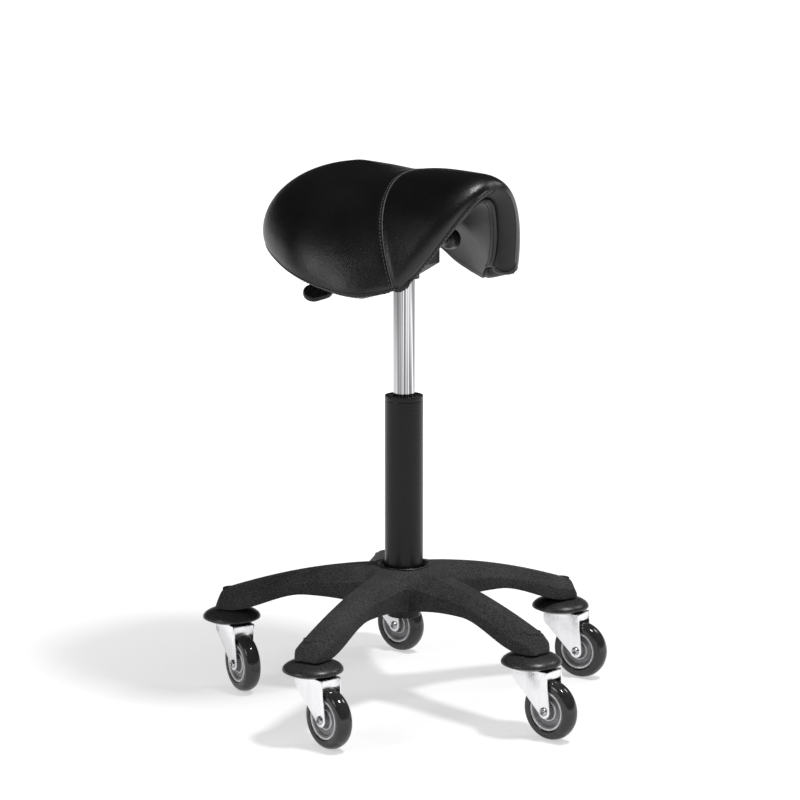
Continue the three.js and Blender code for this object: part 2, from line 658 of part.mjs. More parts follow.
function mechanismHousing() {
  const halfLength = HOUSING_HALF_LENGTH - HOUSING_WALL;
  const halfWidth = HOUSING_HALF_WIDTH - HOUSING_WALL;
  const cavity = loft([
    squaredRing(halfLength, halfWidth, SQUARE_POWER, HOUSING_FLOOR),
    squaredRing(halfLength, halfWidth, SQUARE_POWER, HOUSING_TOP + OVERRUN),
  ]);
  const lockBoss = pinAlongY(LOCK_BOSS_RADIUS, halfWidth - LOCK_BOSS_DEPTH,
    halfWidth + HOUSING_WALL / 2, SMALL_SIDES).translate(LOCK_X, 0, LOCK_HEIGHT);
  const postSpan = LEVER_HUB_HALF_WIDTH + CLEARANCE;
  const posts = [1, -1].map((side) => {
    const near = side * postSpan;
    const far = side * (postSpan + LEVER_POST_THICKNESS);
    return leverTurn(block(LEVER_PIVOT_RADIUS - LEVER_POST_HALF_LENGTH,
      LEVER_PIVOT_RADIUS + LEVER_POST_HALF_LENGTH, Math.min(near, far), Math.max(near, far),
      HOUSING_FLOOR - OVERRUN, LEVER_PIVOT_HEIGHT + LEVER_POST_HALF_LENGTH));
  });
  const socket = upright([
    [0, HOUSING_BOTTOM - OVERRUN], [CYLINDER_RADIUS + CLEARANCE, HOUSING_BOTTOM - OVERRUN],
    [CYLINDER_RADIUS + CLEARANCE, TAPER_BOTTOM], [CYLINDER_TAPER_RADIUS + CLEARANCE, CYLINDER_TOP],
    [0, CYLINDER_TOP],
  ], LARGE_SIDES);
  const tiltBore = pinAlongY(TILT_PIN_RADIUS + CLEARANCE, -HOUSING_HALF_LENGTH, HOUSING_HALF_LENGTH,
    SMALL_SIDES).translate(0, 0, TILT_AXIS_HEIGHT);
  const lockBore = pinAlongY(LOCK_SCREW_RADIUS + CLEARANCE, halfWidth - LOCK_BOSS_DEPTH - OVERRUN,
    HOUSING_HALF_LENGTH, SMALL_SIDES).translate(LOCK_X, 0, LOCK_HEIGHT);
  const pivotBore = leverTurn(pinAlongY(LEVER_PIN_RADIUS + CLEARANCE, -HOUSING_HALF_WIDTH,
    LEVER_PIN_HALF_LENGTH + OVERRUN, SMALL_SIDES).translate(LEVER_PIVOT_RADIUS, 0, LEVER_PIVOT_HEIGHT));
  const window = leverTurn(block(LEVER_PIVOT_RADIUS + LEVER_HUB_RADIUS,
    HOUSING_HALF_LENGTH + LEVER_HUB_RADIUS, -postSpan, postSpan, HOUSING_FLOOR,
    LEVER_PIVOT_HEIGHT + LEVER_HUB_HALF_WIDTH));
  const shell = join(cut(housingOuter(), cavity), lockBoss, ...posts);
  return cut(shell, socket, tiltBore, lockBore, limitedPivotBore(pivotBore), window);
}

// The lever pin's bore is kept inside the posts, clear of the housing's outer wall
function limitedPivotBore(bore) {
  const room = block(-HOUSING_HALF_LENGTH, HOUSING_HALF_LENGTH, -(HOUSING_HALF_WIDTH - HOUSING_WALL),
    HOUSING_HALF_WIDTH, HOUSING_FLOOR, HOUSING_TOP);
  return common(bore, room);
}

function earInner() {
  return HOUSING_HALF_WIDTH + CLEARANCE;
}

function earOuter() {
  return earInner() + EAR_THICKNESS;
}

function tiltPin() {
  const end = earOuter() + CLEARANCE;
  const body = turned([
    [0, -end - TILT_PIN_HEAD_LENGTH], [TILT_PIN_HEAD_RADIUS, -end - TILT_PIN_HEAD_LENGTH],
    [TILT_PIN_HEAD_RADIUS, -end], [TILT_PIN_RADIUS, -end], [TILT_PIN_RADIUS, end],
    [TILT_PIN_HEAD_RADIUS, end], [TILT_PIN_HEAD_RADIUS, end + TILT_PIN_HEAD_LENGTH],
    [0, end + TILT_PIN_HEAD_LENGTH],
  ], SMALL_SIDES);
  return body.translate(0, 0, TILT_AXIS_HEIGHT);
}

// The plate's ear on the left has a curved slot that the lock screw runs in
function slottedEar() {
  const rise = PLATE_BOTTOM + PLATE_THICKNESS / 2;
  const reach = Math.hypot(LOCK_X, LOCK_HEIGHT - TILT_AXIS_HEIGHT);
  const middle = Math.atan2(LOCK_HEIGHT - TILT_AXIS_HEIGHT, LOCK_X);
  const slotHalfWidth = LOCK_SCREW_RADIUS + CLEARANCE;
  const sweep = rad(TILT_LIMIT_DEGREES) + CLEARANCE / reach;
  const margin = slotHalfWidth + LOCK_WASHER_RADIUS / 2;
  const outerSweep = sweep + margin / reach;
  const shape = new THREE.Shape();
  shape.moveTo(-EAR_HALF_LENGTH, rise);
  shape.lineTo(-EAR_HALF_LENGTH, TILT_AXIS_HEIGHT);
  shape.absarc(0, TILT_AXIS_HEIGHT, reach + margin, middle - outerSweep, middle + outerSweep, false);
  shape.lineTo(EAR_SLOPE_LENGTH, rise);
  shape.closePath();
  const pivot = new THREE.Path();
  pivot.absarc(0, TILT_AXIS_HEIGHT, TILT_PIN_RADIUS + CLEARANCE, 0, 2 * Math.PI, true);
  const slot = new THREE.Path();
  const far = reach + slotHalfWidth;
  const near = reach - slotHalfWidth;
  const end = (turn, radius) => [radius * Math.cos(turn), TILT_AXIS_HEIGHT + radius * Math.sin(turn)];
  slot.absarc(0, TILT_AXIS_HEIGHT, far, middle - sweep, middle + sweep, false);
  slot.absarc(...end(middle + sweep, reach), slotHalfWidth, middle + sweep, middle + sweep + Math.PI, false);
  slot.absarc(0, TILT_AXIS_HEIGHT, near, middle + sweep, middle - sweep, true);
  slot.absarc(...end(middle - sweep, reach), slotHalfWidth, middle - sweep + Math.PI,
    middle - sweep + 2 * Math.PI, false);
  shape.holes.push(pivot, slot);
  return upstanding(shape, earInner(), earOuter(), CORNER_SIDES);
}

function plainEar() {
  const shape = new THREE.Shape();
  shape.moveTo(-EAR_HALF_LENGTH, PLATE_BOTTOM + PLATE_THICKNESS / 2);
  shape.absarc(0, TILT_AXIS_HEIGHT, EAR_ROUND_RADIUS, Math.PI, 2 * Math.PI, false);
  shape.lineTo(EAR_HALF_LENGTH, PLATE_BOTTOM + PLATE_THICKNESS / 2);
  shape.closePath();
  const pivot = new THREE.Path();
  pivot.absarc(0, TILT_AXIS_HEIGHT, TILT_PIN_RADIUS + CLEARANCE, 0, 2 * Math.PI, true);
  shape.holes.push(pivot);
  return upstanding(shape, -earOuter(), -earInner(), CORNER_SIDES);
}

const screwPlaces = [[1, 1], [1, -1], [-1, 1], [-1, -1]].map(([a, b]) => [a * SCREW_X, b * SCREW_Y]);

function tiltPlate() {
  const top = PLATE_BOTTOM + PLATE_THICKNESS;
  const plate = loft([
    squaredRing(PLATE_HALF_LENGTH, PLATE_HALF_WIDTH, SQUARE_POWER, PLATE_BOTTOM),
    squaredRing(PLATE_HALF_LENGTH, PLATE_HALF_WIDTH, SQUARE_POWER, top),
  ]);
  const holes = screwPlaces.map(([x, y]) => disc(SCREW_RADIUS + CLEARANCE, PLATE_BOTTOM - OVERRUN,
    top + OVERRUN, SMALL_SIDES).translate(x, y, 0));
  return cut(join(plate, slottedEar(), plainEar()), ...holes);
}

function plateScrew([x, y]) {
  const underHead = PLATE_BOTTOM - CLEARANCE;
  const bottom = underHead - SCREW_HEAD_HEIGHT;
  const top = PLATE_BOTTOM + SCREW_LENGTH;
  return upright([
    [0, bottom], [SCREW_HEAD_RADIUS * HEAD_CROWN_SHARE, bottom],
    [SCREW_HEAD_RADIUS, underHead - SCREW_HEAD_HEIGHT / 2], [SCREW_HEAD_RADIUS, underHead],
    [SCREW_RADIUS, underHead], [SCREW_RADIUS, top], [0, top],
  ], SCREW_SIDES).translate(x, y, 0);
}

function washerFace() {
  return earOuter() + CLEARANCE;
}

function lockWasher() {
  const from = washerFace();
  const to = from + LOCK_WASHER_THICKNESS;
  const inner = LOCK_SCREW_RADIUS + CLEARANCE;
  return turned([[inner, from], [LOCK_WASHER_RADIUS, from], [LOCK_WASHER_RADIUS, to], [inner, to]],
    SMALL_SIDES).translate(LOCK_X, 0, LOCK_HEIGHT);
}

function knobFace() {
  return washerFace() + LOCK_WASHER_THICKNESS + CLEARANCE;
}

function lockScrew() {
  const from = HOUSING_HALF_WIDTH - HOUSING_WALL - LOCK_BOSS_DEPTH;
  return pinAlongY(LOCK_SCREW_RADIUS, from, knobFace() + KNOB_BORE_DEPTH - CLEARANCE, SMALL_SIDES)
    .translate(LOCK_X, 0, LOCK_HEIGHT);
}

function lockKnob() {
  const from = knobFace();
  const headStart = KNOB_END - KNOB_HEAD_LENGTH;
  const soften = KNOB_RADIUS / 4;
  const bore = LOCK_SCREW_RADIUS + CLEARANCE;
  return turned([
    [bore, from], [KNOB_NECK_RADIUS, from], [KNOB_NECK_RADIUS, headStart - soften],
    [KNOB_RADIUS - soften / 2, headStart], [KNOB_RADIUS, headStart + soften],
    [KNOB_RADIUS, KNOB_END - soften], [KNOB_RADIUS - soften, KNOB_END], [0, KNOB_END + soften / 4],
    [0, from + KNOB_BORE_DEPTH], [bore, from + KNOB_BORE_DEPTH],
  ], MEDIUM_SIDES).translate(LOCK_X, 0, LOCK_HEIGHT);
}

// Height release lever

function leverRoute() {
  return new THREE.CatmullRomCurve3([
    new THREE.Vector3(LEVER_PIVOT_RADIUS, 0, LEVER_PIVOT_HEIGHT),
    new THREE.Vector3(LEVER_ROD_EXIT, 0, LEVER_PIVOT_HEIGHT - CLEARANCE),
    new THREE.Vector3(LEVER_ROD_BEND, 0, LEVER_PIVOT_HEIGHT - LEVER_ROD_BEND_DROP),
    new THREE.Vector3(LEVER_ROD_DIP, 0, LEVER_PIVOT_HEIGHT - LEVER_ROD_DIP_DROP),
    new THREE.Vector3(PADDLE_RADIUS - PADDLE_HALF_LENGTH / 2, 0, PADDLE_HEIGHT + LEVER_ROD_RADIUS),
    new THREE.Vector3(PADDLE_RADIUS, 0, PADDLE_HEIGHT),
  ]);
}

function leverRod(radius) {
  const section = new THREE.Shape();
  section.absarc(0, 0, radius, 0, 2 * Math.PI, false);
  return new THREE.ExtrudeGeometry(section, {
    steps: ROD_STEPS, curveSegments: CORNER_SIDES, bevelEnabled: false, extrudePath: leverRoute(),
  });
}

function releaseLever() {
  const fingerBottom = VALVE_PIN_TOP + CLEARANCE;
  const fingerTop = fingerBottom + LEVER_FINGER_THICKNESS;
  const finger = new THREE.Shape([
    new THREE.Vector2(LEVER_PIVOT_RADIUS, LEVER_PIVOT_HEIGHT),
    new THREE.Vector2(LEVER_PIVOT_RADIUS, fingerTop - CLEARANCE),
    new THREE.Vector2(-LEVER_FINGER_TIP, fingerTop),
    new THREE.Vector2(-LEVER_FINGER_TIP, fingerBottom),
    new THREE.Vector2(LEVER_FINGER_TIP + LEVER_FINGER_THICKNESS, fingerBottom),
  ].reverse());
  const hub = pinAlongY(LEVER_HUB_RADIUS, -LEVER_HUB_HALF_WIDTH, LEVER_HUB_HALF_WIDTH, SMALL_SIDES)
    .translate(LEVER_PIVOT_RADIUS, 0, LEVER_PIVOT_HEIGHT);
  const bore = pinAlongY(LEVER_PIN_RADIUS + CLEARANCE, -LEVER_PIN_HALF_LENGTH, LEVER_PIN_HALF_LENGTH,
    SMALL_SIDES).translate(LEVER_PIVOT_RADIUS, 0, LEVER_PIVOT_HEIGHT);
  const arms = join(upstanding(finger, -LEVER_FINGER_HALF_WIDTH, LEVER_FINGER_HALF_WIDTH, 1), hub,
    leverRod(LEVER_ROD_RADIUS));
  return leverTurn(cut(arms, bore));
}

function leverPin() {
  return leverTurn(pinAlongY(LEVER_PIN_RADIUS, -LEVER_PIN_HALF_LENGTH, LEVER_PIN_HALF_LENGTH,
    SMALL_SIDES).translate(LEVER_PIVOT_RADIUS, 0, LEVER_PIVOT_HEIGHT));
}

function leverPaddle() {
  const shape = new THREE.Shape();
  const flat = PADDLE_HALF_LENGTH - PADDLE_HALF_WIDTH;
  const round = PADDLE_HALF_WIDTH - PADDLE_BEVEL;
  shape.absarc(flat, 0, round, -Math.PI / 2, Math.PI / 2, false);
  shape.absarc(-flat, 0, round, Math.PI / 2, 3 * Math.PI / 2, false);
  const blank = new THREE.ExtrudeGeometry(shape, {
    depth: PADDLE_THICKNESS - 2 * PADDLE_BEVEL, bevelEnabled: true, bevelThickness: PADDLE_BEVEL,
    bevelSize: PADDLE_BEVEL, bevelSegments: 2, curveSegments: CORNER_SIDES,
  }).translate(0, 0, PADDLE_BEVEL - PADDLE_THICKNESS / 2);
  const grooves = Array.from({ length: PADDLE_GROOVES }, (_, k) => {
    const half = PADDLE_GROOVE_WIDTH / 2;
    return block(-half, half, -PADDLE_HALF_LENGTH, PADDLE_HALF_LENGTH,
      PADDLE_THICKNESS / 2 - PADDLE_GROOVE_DEPTH, PADDLE_THICKNESS)
      .rotateZ(rad(PADDLE_GROOVE_DEGREES)).translate((k - 1) * PADDLE_GROOVE_PITCH, 0, 0);
  });
  const plate = cut(blank, ...grooves)
    .rotateX(rad(PADDLE_ROLL_DEGREES))
    .rotateY(rad(PADDLE_SLOPE_DEGREES))
    .translate(PADDLE_RADIUS, 0, PADDLE_HEIGHT);
  return leverTurn(cut(plate, leverRod(LEVER_ROD_RADIUS + CLEARANCE)));
}

// Casters, each modelled with its swivel axis at the origin and its wheel trailing along +X

function casterStem() {
  const headTop = FORK_TOP - FORK_THICKNESS - CLEARANCE;
  const chamfer = STEM_RADIUS / 4;
  return upright([
    [0, headTop - STEM_HEAD_HEIGHT], [STEM_HEAD_RADIUS, headTop - STEM_HEAD_HEIGHT],
    [STEM_HEAD_RADIUS, headTop], [STEM_RADIUS, headTop], [STEM_RADIUS, stemTop() - chamfer],
    [STEM_RADIUS - chamfer, stemTop()], [0, stemTop()],
  ], SMALL_SIDES);
}

// The hood is a low dome, a quarter of an ellipse from rim to crown
function hoodHeight(radius) {
  const share = radius / HOOD_RIM_RADIUS;
  return HOOD_RIM_HEIGHT + (HOOD_CROWN_HEIGHT - HOOD_RIM_HEIGHT) * Math.sqrt(1 - share * share);
}

function casterHood() {
  const bore = STEM_RADIUS + CLEARANCE;
  const outerShares = [0.95, 0.8, 0.5];
  const inner = HOOD_INNER_SHARE * HOOD_RIM_RADIUS;
  return upright([
    [HOOD_SKIRT_RADIUS - HOOD_WALL, HOOD_SKIRT_HEIGHT], [HOOD_SKIRT_RADIUS, HOOD_SKIRT_HEIGHT],
    [HOOD_RIM_RADIUS, HOOD_RIM_HEIGHT],
    ...outerShares.map((share) => [share * HOOD_RIM_RADIUS, hoodHeight(share * HOOD_RIM_RADIUS)]),
    [bore, HOOD_CROWN_HEIGHT], [bore, HOOD_CROWN_HEIGHT - HOOD_WALL],
    [inner, hoodHeight(inner) - HOOD_WALL],
  ], MEDIUM_SIDES);
}

// One pressed leg: wide under the hood, slanted in front, round about the axle
function forkLeg(yMin, yMax) {
  const shape = new THREE.Shape();
  shape.moveTo(-FORK_LEAD, FORK_TOP);
  shape.lineTo(-FORK_LEAD, FORK_TOP - FORK_LEAD_EDGE_HEIGHT);
  shape.absarc(CASTER_TRAIL, WHEEL_RADIUS, FORK_EYE_RADIUS, rad(FORK_EYE_START_DEGREES), 2 * Math.PI, false);
  shape.lineTo(FORK_TAIL, FORK_TOP);
  shape.closePath();
  const eye = new THREE.Path();
  eye.absarc(CASTER_TRAIL, WHEEL_RADIUS, AXLE_RADIUS + CLEARANCE, 0, 2 * Math.PI, true);
  shape.holes.push(eye);
  return flared(upstanding(shape, yMin, yMax, CORNER_SIDES), Math.sign(yMin + yMax));
}

// A leg leans outwards above its eye
function flared(leg, side) {
  const start = WHEEL_RADIUS + FORK_EYE_RADIUS;
  const room = [-HOOD_RIM_RADIUS, CASTER_TRAIL + HOOD_RIM_RADIUS, -HOOD_RIM_RADIUS, HOOD_RIM_RADIUS];
  const slope = side * FORK_FLARE / (FORK_TOP - start);
  const upper = common(leg, block(...room, start, FORK_TOP)).translate(0, 0, -start)
    .applyMatrix4(new THREE.Matrix4().makeShear(0, 0, 0, 0, 0, slope)).translate(0, 0, start);
  return join(common(leg, block(...room, 0, start)), upper);
}

function forkInner() {
  return WHEEL_HALF_WIDTH + WHEEL_SIDE_GAP;
}

function casterFork() {
  const inner = forkInner();
  const outer = inner + FORK_THICKNESS;
  const wide = outer + FORK_FLARE;
  const plateBottom = FORK_TOP - FORK_THICKNESS;
  const top = block(-FORK_LEAD, FORK_TAIL, -wide, wide, plateBottom, FORK_TOP);
  const back = block(FORK_TAIL - FORK_THICKNESS, FORK_TAIL, -wide, wide, FORK_TOP - FORK_BACK_HEIGHT,
    FORK_TOP);
  const race = disc(FORK_RACE_RADIUS, plateBottom, HOOD_CROWN_HEIGHT, SMALL_SIDES);
  const underHood = HOOD_WALL + 2 * CLEARANCE;
  const middle = HOOD_RIM_RADIUS * HOOD_INNER_SHARE;
  const raceRoom = upright([
    [0, plateBottom - OVERRUN], [HOOD_RIM_RADIUS, plateBottom - OVERRUN],
    [middle, hoodHeight(middle) - underHood], [STEM_RADIUS, HOOD_CROWN_HEIGHT - underHood],
    [0, HOOD_CROWN_HEIGHT - underHood],
  ], MEDIUM_SIDES);
  const bore = disc(STEM_RADIUS + CLEARANCE, 0, HOOD_CROWN_HEIGHT, SMALL_SIDES);
  const legs = [forkLeg(inner, outer), forkLeg(-outer, -inner)];
  return cut(join(top, back, ...legs, common(race, raceRoom)), bore);
}

// The tread's faces touch the floor, so its corners stand a little outside its radius
function wheelCorner(radius) {
  return radius / Math.cos(Math.PI / WHEEL_SEGMENTS);
}

function atAxle(geometry) {
  return geometry.translate(CASTER_TRAIL, 0, WHEEL_RADIUS);
}

function casterTyre() {
  const w = WHEEL_HALF_WIDTH;
  const inner = wheelCorner(WHEEL_CORE_RADIUS + CLEARANCE);
  const treadShares = [[-0.95, 0.74], [-0.82, 0.9], [-0.42, 1], [0.42, 1], [0.82, 0.9], [0.95, 0.74]];
  const tread = treadShares.map(([across, out]) => [wheelCorner(WHEEL_RADIUS * out), across * w]);
  const face = w * WHEEL_FACE_SHARE;
  return atAxle(turned([[inner, -face], ...tread, [inner, face]], WHEEL_SEGMENTS,
    Math.PI / WHEEL_SEGMENTS));
}

function casterCore() {
  const w = WHEEL_HALF_WIDTH;
  const web = WHEEL_WEB_HALF_WIDTH;
  const face = w * WHEEL_FACE_SHARE;
  const bore = AXLE_RADIUS + CLEARANCE;
  return atAxle(turned([
    [bore, -w], [WHEEL_HUB_RADIUS, -w], [WHEEL_HUB_RADIUS, -web], [WHEEL_WEB_RADIUS, -web],
    [WHEEL_WEB_RADIUS, -face], [WHEEL_CORE_RADIUS, -face], [WHEEL_CORE_RADIUS, face],
    [WHEEL_WEB_RADIUS, face], [WHEEL_WEB_RADIUS, web], [WHEEL_HUB_RADIUS, web], [WHEEL_HUB_RADIUS, w],
    [bore, w],
  ], WHEEL_SEGMENTS, Math.PI / WHEEL_SEGMENTS));
}

function casterAxle() {
  const side = forkInner() + FORK_THICKNESS + CLEARANCE;
  const end = side + AXLE_HEAD_LENGTH;
  const crown = AXLE_HEAD_RADIUS * HEAD_CROWN_SHARE;
  return atAxle(turned([
    [0, -end], [crown, -end], [AXLE_HEAD_RADIUS, -side - AXLE_HEAD_LENGTH / 2], [AXLE_HEAD_RADIUS, -side],
    [AXLE_RADIUS, -side], [AXLE_RADIUS, side], [AXLE_HEAD_RADIUS, side],
    [AXLE_HEAD_RADIUS, side + AXLE_HEAD_LENGTH / 2], [crown, end], [0, end],
  ], SCREW_SIDES));
}

function caster(number) {
  const turn = FIRST_ARM_DEGREES + (number - 1) * 360 / ARM_COUNT;
  const place = new THREE.Group();
  place.position.set(Math.cos(rad(turn)), Math.sin(rad(turn)), 0).multiplyScalar(CASTER_CIRCLE_RADIUS);
  place.rotation.z = rad(casterTrailDegrees[number - 1]);
  place.add(named(`caster_stem_${number}`, casterStem(), zincSteel));
  place.add(named(`caster_hood_${number}`, casterHood(), hoodPlastic));
  place.add(named(`caster_fork_${number}`, casterFork(), zincSteel));
  place.add(named(`caster_tyre_${number}`, casterTyre(), smokyTread));
  place.add(named(`caster_core_${number}`, casterCore(), clearCore));
  place.add(named(`caster_axle_${number}`, casterAxle(), zincSteel));
  return place;
}

// Saddle surface

const lastLine = saddleLineShares.length - 1;

// A value along the lines, smooth from line to line; the back is mirrored into the other half
function alongLines(values, u, mirrorSum) {
  const place = Math.min(Math.max(u, 0), 1) * lastLine;
  const k = Math.min(Math.floor(place), lastLine - 1);
  const t = place - k;
  const before = k > 0 ? values[k - 1] : (mirrorSum === null ? values[1] : mirrorSum - values[1]);
  const after = k + 2 <= lastLine ? values[k + 2] : 2 * values[lastLine] - values[lastLine - 1];
  const from = values[k];
  const to = values[k + 1];
  return 0.5 * (2 * from + (to - before) * t + (2 * before - 5 * from + 4 * to - after) * t * t
    + (3 * from - before - 3 * to + after) * t * t * t);
}

function column(table, index) {
  return table.map((row) => row[index]);
}

// A point of the left half: u runs from the middle of the back to the front arch,
// v from the crest down to the lower edge
function saddlePoint(u, v) {
  const share = (index, mirrorSum = null) => alongLines(column(saddleLineShares, index), u, mirrorSum);
  const crestTurn = rad(alongLines(column(saddleLineDegrees, 0), u, 360));
  const edgeTurn = rad(alongLines(column(saddleLineDegrees, 1), u, 360));
  const edgeRise = rad(alongLines(column(saddleLineDegrees, 2), u, null));
  const crest = new THREE.Vector3(share(0) * SEAT_LENGTH, 0, SEAT_CREST_HEIGHT - share(2) * SEAT_DROP);
  const edge = new THREE.Vector3(share(1) * SEAT_LENGTH, share(4, 0) * SEAT_HALF_WIDTH,
    SEAT_CREST_HEIGHT - share(3) * SEAT_DROP);
  const crestPull = new THREE.Vector3(Math.cos(crestTurn), Math.sin(crestTurn), 0)
    .multiplyScalar(share(5) * SEAT_HALF_WIDTH);
  const edgePull = new THREE.Vector3(-Math.cos(edgeRise) * Math.cos(edgeTurn),
    -Math.cos(edgeRise) * Math.sin(edgeTurn), Math.sin(edgeRise)).multiplyScalar(share(6) * SEAT_DROP);
  return new THREE.CubicBezierCurve3(crest, crest.clone().add(crestPull), edge.clone().add(edgePull), edge)
    .getPoint(v);
}

// Directions at a point: along u, along v and straight out of the surface
function saddleDirections(u, v) {
  const u1 = Math.min(Math.max(u, STEP_SHARE), 1 - STEP_SHARE);
  const v1 = Math.min(Math.max(v, CREST_STEP_SHARE), 1 - STEP_SHARE);
  const along = saddlePoint(u1 + STEP_SHARE, v1).sub(saddlePoint(u1 - STEP_SHARE, v1)).normalize();
  const down = saddlePoint(u1, v1 + STEP_SHARE).sub(saddlePoint(u1, v1 - STEP_SHARE)).normalize();
  const out = along.clone().cross(down);
  if (u === 0 || v === 0) out.y = 0;
  return { along, down, out: out.normalize() };
}

// How far the cover rolls under at the front arch
function frontRoll(u, v) {
  const t = Math.max(0, (u - FRONT_ROLL_START_SHARE) / (1 - FRONT_ROLL_START_SHARE));
  return FRONT_ROLL_RADIUS * (1 - Math.sqrt(Math.max(0, 1 - t * t))) * (1 - Math.pow(v, ROLL_END_POWER));
}

function padThickness(u, v) {
  const front = smooth((u - 1 + FRONT_THIN_SHARE) / FRONT_THIN_SHARE);
  const crest = 1 - smooth(v / CREST_THIN_SHARE);
  return PAD_THICKNESS - (PAD_THICKNESS - PAD_CREST_THICKNESS) * front * crest;
}

function outerPoint(u, v, depth) {
  return saddlePoint(u, v).addScaledVector(saddleDirections(u, v).out, -depth - frontRoll(u, v));
}

function innerPoint(u, v, depth) {
  const inner = u * INNER_FRONT_SHARE;
  return saddlePoint(inner, v).addScaledVector(saddleDirections(inner, v).out, -depth - padThickness(u, v));
}

function seamPlace(v) {
  return SEAM_CREST_SHARE + (SEAM_FOOT_SHARE - SEAM_CREST_SHARE) * Math.pow(v, SEAM_CURVE_POWER);
}

function columnPlace(k, v) {
  if (k <= REAR_COLUMNS) return seamPlace(v) * k / REAR_COLUMNS;
  return seamPlace(v) + (1 - seamPlace(v)) * (k - REAR_COLUMNS) / FRONT_COLUMNS;
}

const allColumns = REAR_COLUMNS + FRONT_COLUMNS;

function saddleGrid(first, last, pointAt) {
  return Array.from({ length: last - first + 1 }, (_, i) => Array.from({ length: SADDLE_ROWS + 1 },
    (__, j) => pointAt(columnPlace(first + i, j / SADDLE_ROWS), j / SADDLE_ROWS, first + i, j)));
}

// The way out past the edge: down at the flaps, forwards at the arch, turning at the corner
function edgeDirection(u, v) {
  const { along, down } = saddleDirections(u, v);
  const turning = v === 1 ? CORNER_TURN_SHARE * smooth((u - 1 + CORNER_SHARE) / CORNER_SHARE)
    : 1 - CORNER_TURN_SHARE * smooth((v - 1 + CORNER_SHARE) / CORNER_SHARE);
  const direction = down.clone().multiplyScalar(1 - turning).addScaledVector(along, turning);
  if (u === 0 || v === 0) direction.y = 0;
  return direction.normalize();
}

// Places round the rim of the left half, from the middle of the back to the arch's top
const rimPlaces = [];
for (let k = 0; k <= allColumns; k += 1) rimPlaces.push([columnPlace(k, 1), 1]);
for (let j = SADDLE_ROWS - 1; j >= 0; j -= 1) rimPlaces.push([1, j / SADDLE_ROWS]);

function edgeBulge(u, v) {
  return EDGE_BULGE + (FOOT_BULGE - EDGE_BULGE) * smooth((u - 1 + CORNER_SHARE) / CORNER_SHARE)
    * smooth((v - 1 + CORNER_SHARE * 2) / (CORNER_SHARE * 2));
}

// The inner layers' rim is drawn back along their own last faces, so these stay in line
function drawBackRim(grid, recess) {
  rimPlaces.forEach((_, k) => {
    const i = Math.min(k, allColumns);
    const j = Math.min(SADDLE_ROWS, SADDLE_ROWS + allColumns - k);
    const point = grid[i][j];
    const neighbour = grid[i === allColumns ? i - 1 : i][j === SADDLE_ROWS ? j - 1 : j];
    point.lerp(neighbour, recess / neighbour.distanceTo(point));
  });
  return grid;
}

// The closing strip of the pad between its outer and inner edges, set in by a depth
function rimGrid(inset) {
  const innerEdge = drawBackRim(saddleGrid(0, allColumns, (u, v) => innerPoint(u, v, 0)), inset);
  return rimPlaces.map(([u, v], k) => {
    const from = outerPoint(u, v, inset).addScaledVector(edgeDirection(u, v), -inset);
    const to = innerEdge[Math.min(k, allColumns)][Math.min(SADDLE_ROWS, SADDLE_ROWS + allColumns - k)];
    return Array.from({ length: EDGE_ROWS + 2 }, (_, s) => {
      const share = s / (EDGE_ROWS + 1);
      return from.clone().lerp(to, (1 - Math.cos(Math.PI * share)) / 2)
        .addScaledVector(edgeDirection(u, v), (edgeBulge(u, v) - inset / 2) * Math.sin(Math.PI * share));
    });
  });
}

function mirrored(positions) {
  const other = [];
  for (let at = 0; at < positions.length; at += 9) {
    for (const corner of [6, 3, 0]) {
      other.push(positions[at + corner], -positions[at + corner + 1], positions[at + corner + 2]);
    }
  }
  return positions.concat(other);
}

function bothHalves(positions) {
  return geometryOf(solidOf(geometryFromPositions(mirrored(positions))));
}

// A sheet with thickness, closed by walls along the named sides of its grid
function sheet(outer, inner, sides) {
  const positions = [];
  addGrid(outer, false, positions);
  addGrid(inner, true, positions);
  const last = outer.length - 1;
  const lowest = outer[0].length - 1;
  if (sides.includes('first')) addGrid([inner[0], outer[0]], false, positions);
  if (sides.includes('last')) addGrid([outer[last], inner[last]], false, positions);
  if (sides.includes('top')) addGrid(outer.map((_, i) => [inner[i][0], outer[i][0]]), false, positions);
  if (sides.includes('bottom')) {
    addGrid(outer.map((_, i) => [outer[i][lowest], inner[i][lowest]]), false, positions);
  }
  return bothHalves(positions);
}

// The cover's skin, mitred to the border band along the rim
function coverPoint(depth) {
  return (u, v, k, j) => {
    const point = outerPoint(u, v, depth);
    if (j === SADDLE_ROWS || k === allColumns) {
      point.addScaledVector(edgeDirection(u, v), -depth - CLEARANCE);
    }
    return point;
  };
}

function coverPanel(first, last, shift, sides) {
  const grid = (depth) => saddleGrid(first, last, (u, v, k, j) => coverPoint(depth)(
    k === REAR_COLUMNS ? u + shift : u, v, k, j));
  return sheet(grid(0), grid(COVER_THICKNESS), sides);
}

function rearCover() {
  return coverPanel(0, REAR_COLUMNS, -SEAM_GAP_SHARE, ['last', 'bottom']);
}

function frontCover() {
  return coverPanel(REAR_COLUMNS, allColumns, SEAM_GAP_SHARE, ['first', 'last', 'bottom']);
}

function borderBand() {
  return sheet(rimGrid(0), rimGrid(COVER_THICKNESS), ['top', 'bottom']);
}

function seatFoam() {
  const inset = COVER_THICKNESS + CLEARANCE;
  const rim = rimGrid(inset);
  const positions = [];
  const outer = saddleGrid(0, allColumns, (u, v) => outerPoint(u, v, inset));
  const inner = drawBackRim(saddleGrid(0, allColumns, (u, v) => innerPoint(u, v, 0)), inset);
  // The outer grid takes the rim's own edge points, so that they meet
  rimPlaces.forEach((_, k) => {
    outer[Math.min(k, allColumns)][Math.min(SADDLE_ROWS, SADDLE_ROWS + allColumns - k)] = rim[k][0];
  });
  addGrid(outer, false, positions);
  addGrid(inner, true, positions);
  addGrid(rim, false, positions);
  return bothHalves(positions);
}

